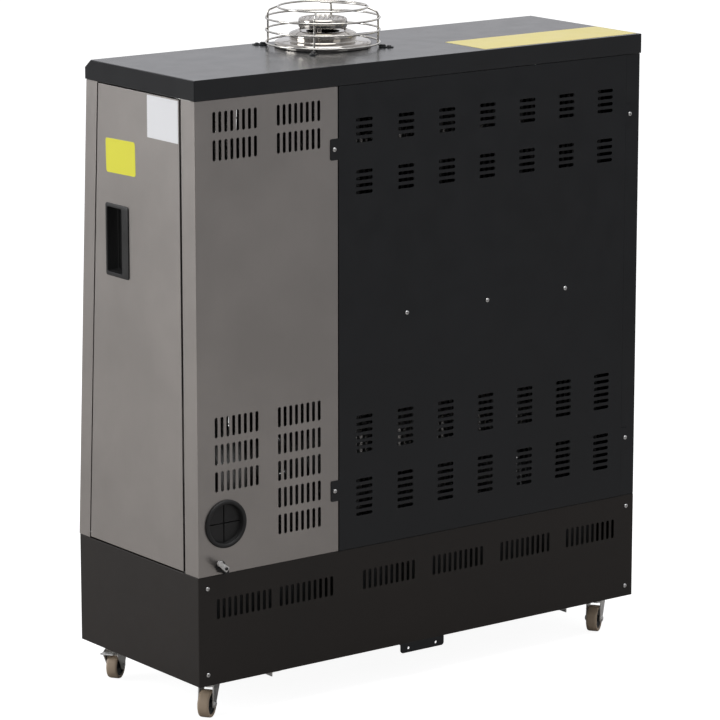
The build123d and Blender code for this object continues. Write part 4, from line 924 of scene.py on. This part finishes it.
def guard_hoops():
    """Three wide hoops, a narrower one on top with its loose end inside, and four bent uprights."""
    shapes = []
    for height in (0.008, 0.031, 0.053):
        shapes.append(hoop(FLUE + np.array((0, 0, height)), 0.103, 0.0018, 96))
    shapes.append(hoop(FLUE + np.array((0, 0, 0.072)), 0.081, 0.0018, 96))
    a = np.radians(np.linspace(238, 150, 28))
    share = np.linspace(0, 1, 28)
    r = 0.0630 + 0.0150 * share ** 2
    tail = np.column_stack((
        FLUE[0] + r * np.cos(a), FLUE[1] + r * np.sin(a), FLUE[2] + 0.0722 - 0.0010 * np.sin(math.pi * share),
    ))
    shapes.append(swept(tail, 0.0016))
    for turn in np.radians((45, 135, 225, 315)):
        out = np.array((math.cos(turn), math.sin(turn), 0.0))
        t = np.linspace(0, 1, 7)[:, None]
        bend = np.array(((0.1006, 0.0585), (0.1002, 0.0610), (0.0985, 0.0632), (0.0960, 0.0652)))
        foot = np.array((
            (0.1150, 0.0032), (0.1060, 0.0032), (0.1024, 0.0042), (0.1008, 0.0065), (0.1006, 0.0090),
        ))
        slope = np.array((0.0960, 0.0652)) * (1 - t) + np.array((0.0795, 0.0722)) * t
        upright = np.column_stack((np.full(7, 0.1006), np.linspace(0.012, 0.056, 7)))
        flat = np.vstack((foot, upright, bend, slope[1:]))
        path = FLUE + flat[:, :1] * out + flat[:, 1:] * np.array((0, 0, 1.0))
        side = np.array((-math.sin(turn), math.cos(turn), 0.0))
        ahead = np.gradient(path, axis=0)
        d = ahead / np.linalg.norm(ahead, axis=1, keepdims=True)
        v = np.cross(d, np.tile(side, (len(path), 1)))
        ring = np.linspace(0, TAU, 10, endpoint=False)
        points = path[:, None] + 0.0018 * (
            np.cos(ring)[None, :, None] * side[None, None] + np.sin(ring)[None, :, None] * v[:, None]
        )
        shapes.append(capped(points))
    return shapes


def guard_feet():
    """Four flat feet with rounded ends, each held by a domed screw and clasping its upright."""
    shapes = []
    for turn in np.radians((45, 135, 225, 315)):
        out = np.array((math.cos(turn), math.sin(turn), 0.0))
        across = np.array((-math.sin(turn), math.cos(turn), 0.0))
        place = FLUE + 0.1155 * out
        sole = rounded_outline(0.0270, 0.0130, 0.0060, 8)
        shapes.append(slab(sole, soft_levels(0.0018, 0.0006), place, out, across))
        hump = rounded_outline(0.0120, 0.0075, 0.0030, 5)
        shapes.append(slab(hump, soft_levels(0.0056, 0.0018), FLUE + 0.1090 * out, out, across))
        shapes.append(turned(
            [(0.0040, 0.0), (0.0040, 0.0010), (0.0034, 0.0019), (0.0020, 0.0024), (0.0, 0.0025)],
            FLUE + 0.1210 * out + np.array((0, 0, 0.0018)), steps=24,
        ))
    return shapes


class HEATER_OT_castors(bpy.types.Operator):
    """Build the wheels with their treads and hubs, and finish the forks, plates and pedals"""

    bl_idname = "heater.castors"
    bl_label = "Castors"

    places = {
        "rear_door": (0.449, 0.147), "rear_far": (-0.449, 0.147),
        "front_door": (0.449, -0.147), "front_far": (-0.449, -0.147),
    }
    # radius and distance from the wheel's middle plane, in mm
    tread = (
        (19.2, -9.0), (20.0, -9.9), (22.4, -10.5), (24.0, -9.9), (24.8, -8.4), (25.0, -5.0), (25.0, 5.0),
        (24.8, 8.4), (24.0, 9.9), (22.4, 10.5), (20.0, 9.9), (19.2, 9.0),
    )
    hub = (
        (3.05, -12.4), (5.2, -12.4), (5.8, -11.4), (6.2, -7.2), (8.0, -6.2), (14.0, -6.2), (15.4, -6.9),
        (16.2, -9.2), (17.2, -9.7), (18.4, -9.5), (19.15, -8.8), (19.15, 8.8), (18.4, 9.5), (17.2, 9.7),
        (16.2, 9.2), (15.4, 6.9), (14.0, 6.2), (8.0, 6.2), (6.2, 7.2), (5.8, 11.4), (5.2, 12.4), (3.05, 12.4),
    )

    def execute(self, context):
        yaw = math.radians(36)
        heading = np.array((math.cos(yaw), math.sin(yaw), 0.0))
        across = np.array((math.sin(yaw), -math.cos(yaw), 0.0))
        for name, (x, y) in self.places.items():
            node = "castor_wheel_" + name
            axle = np.array((x, y, 0.025)) + 0.012 * heading
            tread = made("tread_" + name, [ring_about(np.array(self.tread) * MM, axle, across)], 40)
            finish(tread, "wheel_" + name, looks()["tread"], (node,))
            hub = made("hub_" + name, [ring_about(np.array(self.hub) * MM, axle, across)], 40)
            finish(hub, "wheel_" + name, looks()["hub"])
            softened("castor_fork_" + name, looks()["zinc"], 0.35 * MM, 0.004, 2)
            if name.startswith("front"):
                softened("brake_pedal_" + name, looks()["zinc"], 0.35 * MM, 0.004, 2)
        softened("castor_plates", looks()["zinc"], 0.4 * MM, 0.02, 2)
        return {"FINISHED"}


def ring_about(profile, centre, direction, steps=72):
    """A closed loop of radius and distance turned about an axis through the centre."""
    u, v, d = axes_of(direction)
    r, h = profile.T
    a = np.linspace(0, TAU, steps, endpoint=False)
    ring = np.cos(a)[:, None] * u + np.sin(a)[:, None] * v
    points = np.asarray(centre) + h[:, None, None] * d + r[:, None, None] * ring[None]
    return grid(points, True, True)


class HEATER_OT_screws(bpy.types.Operator):
    """Set the pan head screws on the back, with painted shade for their cross recess as dark slabs"""

    bl_idname = "heater.screws"
    bl_label = "Screws"

    # u and z of each screw, in mm
    cover = (
        (456.0, 617.7), (640.5, 617.7), (824.3, 617.7), (295.0, 929.0), (976.0, 929.0), (295.0, 312.0),
        (976.0, 312.0),
    )
    base = ((18.2, 20.5), (18.2, 177.5), (981.8, 20.5), (981.8, 177.5))
    # radius and height of the head, in mm
    head = (
        (2.0, -2.6), (2.0, 0.0), (3.9, 0.0), (4.0, 0.25), (4.0, 0.9), (3.7, 1.5), (3.1, 2.0), (2.2, 2.3),
        (1.2, 2.38), (0.0, 2.4),
    )

    def execute(self, context):
        for name, places, out in (("cover_screws", self.cover, 1.2), ("base_screws", self.base, 0.0)):
            heads, cross_shade_slabs = [], []
            for u, z in places:
                seat = on_back(u, z, out)
                heads.append(turned(np.array(self.head) * MM, seat, (0, 1, 0), 28))
                # the cross recess is painted shade: thin slabs in the black rubber finish, not cut into the head
                cross_shade_slabs += painted_cross_shade(seat + np.array((0, 0.00215, 0)), (0, 1, 0), 0.0021, 0.00024)
            screws = made(name + "_heads", heads, 40)
            finish(screws, "cabinet", looks()["screw"], (name,))
            # one piece of painted recess shade for all the screw heads, in the dark rubber finish
            recess_shade = made(name + "_recesses", cross_shade_slabs, 40)
            finish(recess_shade, "cabinet", looks()["rubber"])
        return {"FINISHED"}


class HEATER_OT_fittings(bpy.types.Operator):
    """Build the cable grommet and the drain cock with its lever"""

    bl_idname = "heater.fittings"
    bl_label = "Fittings"

    # radius and distance from the back plane, in mm
    ring = (
        (36.4, -9.6), (36.4, 0.0), (42.6, 0.0), (43.2, 0.6), (43.3, 1.8), (42.8, 3.4), (41.4, 4.6), (39.6, 5.0),
        (37.6, 4.8), (36.2, 3.8), (35.4, 2.2), (35.0, -4.6), (34.4, -5.4), (34.0, -9.6),
    )
    body = (
        (10.0, -11.8), (10.0, -1.6), (5.9, -1.5), (5.9, 0.1), (9.2, 0.1), (9.6, 0.6), (9.6, 3.6),
        (8.6, 4.8), (7.0, 5.2), (7.0, 13.2), (6.4, 14.4), (3.0, 14.8), (2.95, 20.2), (2.4, 20.8), (0.0, 20.9),
    )

    def execute(self, context):
        middle = on_back(58.0, 289.5)
        shapes = [ring_about(np.array(self.ring) * MM, middle, (0, 1, 0), 96)]
        shapes += membrane(middle)
        grommet = made("grommet_ring", shapes, 40)
        finish(grommet, "cabinet", looks()["rubber"], ("cable_grommet",))
        seat = on_back(46.0, 214.0)
        cock = [turned([(0.0, -0.0118)] + [tuple(p) for p in np.array(self.body) * MM], seat, (0, 1, 0), 36)]
        corners = np.radians(np.arange(0, 360, 60))
        hexagon = 0.0108 * np.column_stack((np.cos(corners), np.sin(corners)))
        u, v, _ = axes_of((0, 1, 0))
        cock.append(slab(hexagon, [(0, 0.0001), (0, 0.0040), (0.0006, 0.0048)], seat, u, v))
        spout = seat + np.array((-0.0060, 0.0070, -0.0085))
        cock.append(rod(spout - np.array((0, 0.0065, 0)), spout + np.array((0, 0.0045, 0)), 0.0052, 24, 0.0012))
        body = made("drain_cock_body", cock, 35)
        finish(body, "cabinet", looks()["plastic"], ("drain_cock",))
        lever = made("drain_cock_lever", lever_shapes(seat), 35)
        finish(lever, "drain_lever", looks()["pale_metal"], ("drain_lever",))
        return {"FINISHED"}


def membrane(middle):
    """Four quarter discs that meet at a cross slit, dished towards the middle."""
    shapes = []
    for k in range(4):
        turn = k * math.pi / 2
        a = np.linspace(turn + 0.02, turn + math.pi / 2 - 0.02, 14)
        gap = np.array((math.cos(turn + math.pi / 4), math.sin(turn + math.pi / 4))) * 0.0012
        rim = np.column_stack((np.cos(a), np.sin(a))) * 0.0345
        flat = np.vstack((gap[None], rim))
        levels = [(0.0, -0.0096), (0.0, -0.0062), (0.0007, -0.0054)]
        shapes.append(slab(flat, levels, middle, (-1, 0, 0), (0, 0, 1)))
    return shapes


def lever_shapes(seat):
    """A stepped flat arm across the cock's pin, with a faceted grip on its upper end."""
    turn = math.radians(139)
    along = np.array((-math.cos(turn), 0.0, math.sin(turn)))
    beside = np.array((-math.sin(turn), 0.0, -math.cos(turn)))
    out = np.cross(along, beside)
    if out[1] < 0:
        beside, out = -beside, -out
    face = seat + np.array((0, 0.0153, 0))
    arm = rounded_outline(0.0260, 0.0090, 0.0028, 6)
    step = rounded_outline(0.0125, 0.0105, 0.0016, 5)
    shapes = [
        slab(arm, soft_levels(0.0025, 0.0007), face + along * 0.0085, along, beside),
        slab(step, soft_levels(0.0036, 0.0007), face + along * 0.0010, along, beside),
    ]
    corners = np.radians(np.arange(30, 390, 60))
    facets = 0.0055 * np.column_stack((np.cos(corners), np.sin(corners)))
    grip = face + along * 0.0175 + out * 0.0002
    shapes.append(slab(facets, [(0.0006, 0.0), (0, 0.0006), (0, 0.0052), (0.0008, 0.0060)],
                       grip, along, beside))
    return shapes


class HEATER_PT_panel(bpy.types.Panel):
    """The heater's operators in the sidebar"""

    bl_label = "Heater"
    bl_idname = "HEATER_PT_panel"
    bl_space_type = "VIEW_3D"
    bl_region_type = "UI"
    bl_category = "Heater"

    def draw(self, context):
        for operator in OPERATORS:
            self.layout.operator(operator.bl_idname)


OPERATORS = (
    HEATER_OT_stage, HEATER_OT_sheets, HEATER_OT_insides, HEATER_OT_emitter, HEATER_OT_controls, HEATER_OT_door,
    HEATER_OT_lid, HEATER_OT_flue, HEATER_OT_castors, HEATER_OT_screws, HEATER_OT_fittings,
)
SETTINGS = {"heater_stage": HeaterStage, "heater_finish": HeaterFinish}


def register():
    """Register the settings, operators and panel."""
    for group in SETTINGS.values():
        bpy.utils.register_class(group)
    for operator in OPERATORS:
        bpy.utils.register_class(operator)
    bpy.utils.register_class(HEATER_PT_panel)
    for name, group in SETTINGS.items():
        setattr(bpy.types.Scene, name, bpy.props.PointerProperty(type=group))


def unregister():
    """Take everything back out, in the other order."""
    for name in SETTINGS:
        delattr(bpy.types.Scene, name)
    bpy.utils.unregister_class(HEATER_PT_panel)
    for operator in reversed(OPERATORS):
        bpy.utils.unregister_class(operator)
    for group in reversed(list(SETTINGS.values())):
        bpy.utils.unregister_class(group)


def main():
    """Build the heater."""
    register()
    bpy.ops.heater.stage()
    bpy.ops.heater.sheets()
    bpy.ops.heater.insides()
    bpy.ops.heater.emitter()
    bpy.ops.heater.controls()
    bpy.ops.heater.door()
    bpy.ops.heater.lid_label()
    bpy.ops.heater.flue()
    bpy.ops.heater.castors()
    bpy.ops.heater.screws()
    bpy.ops.heater.fittings()


if __name__ == "__main__":
    main()
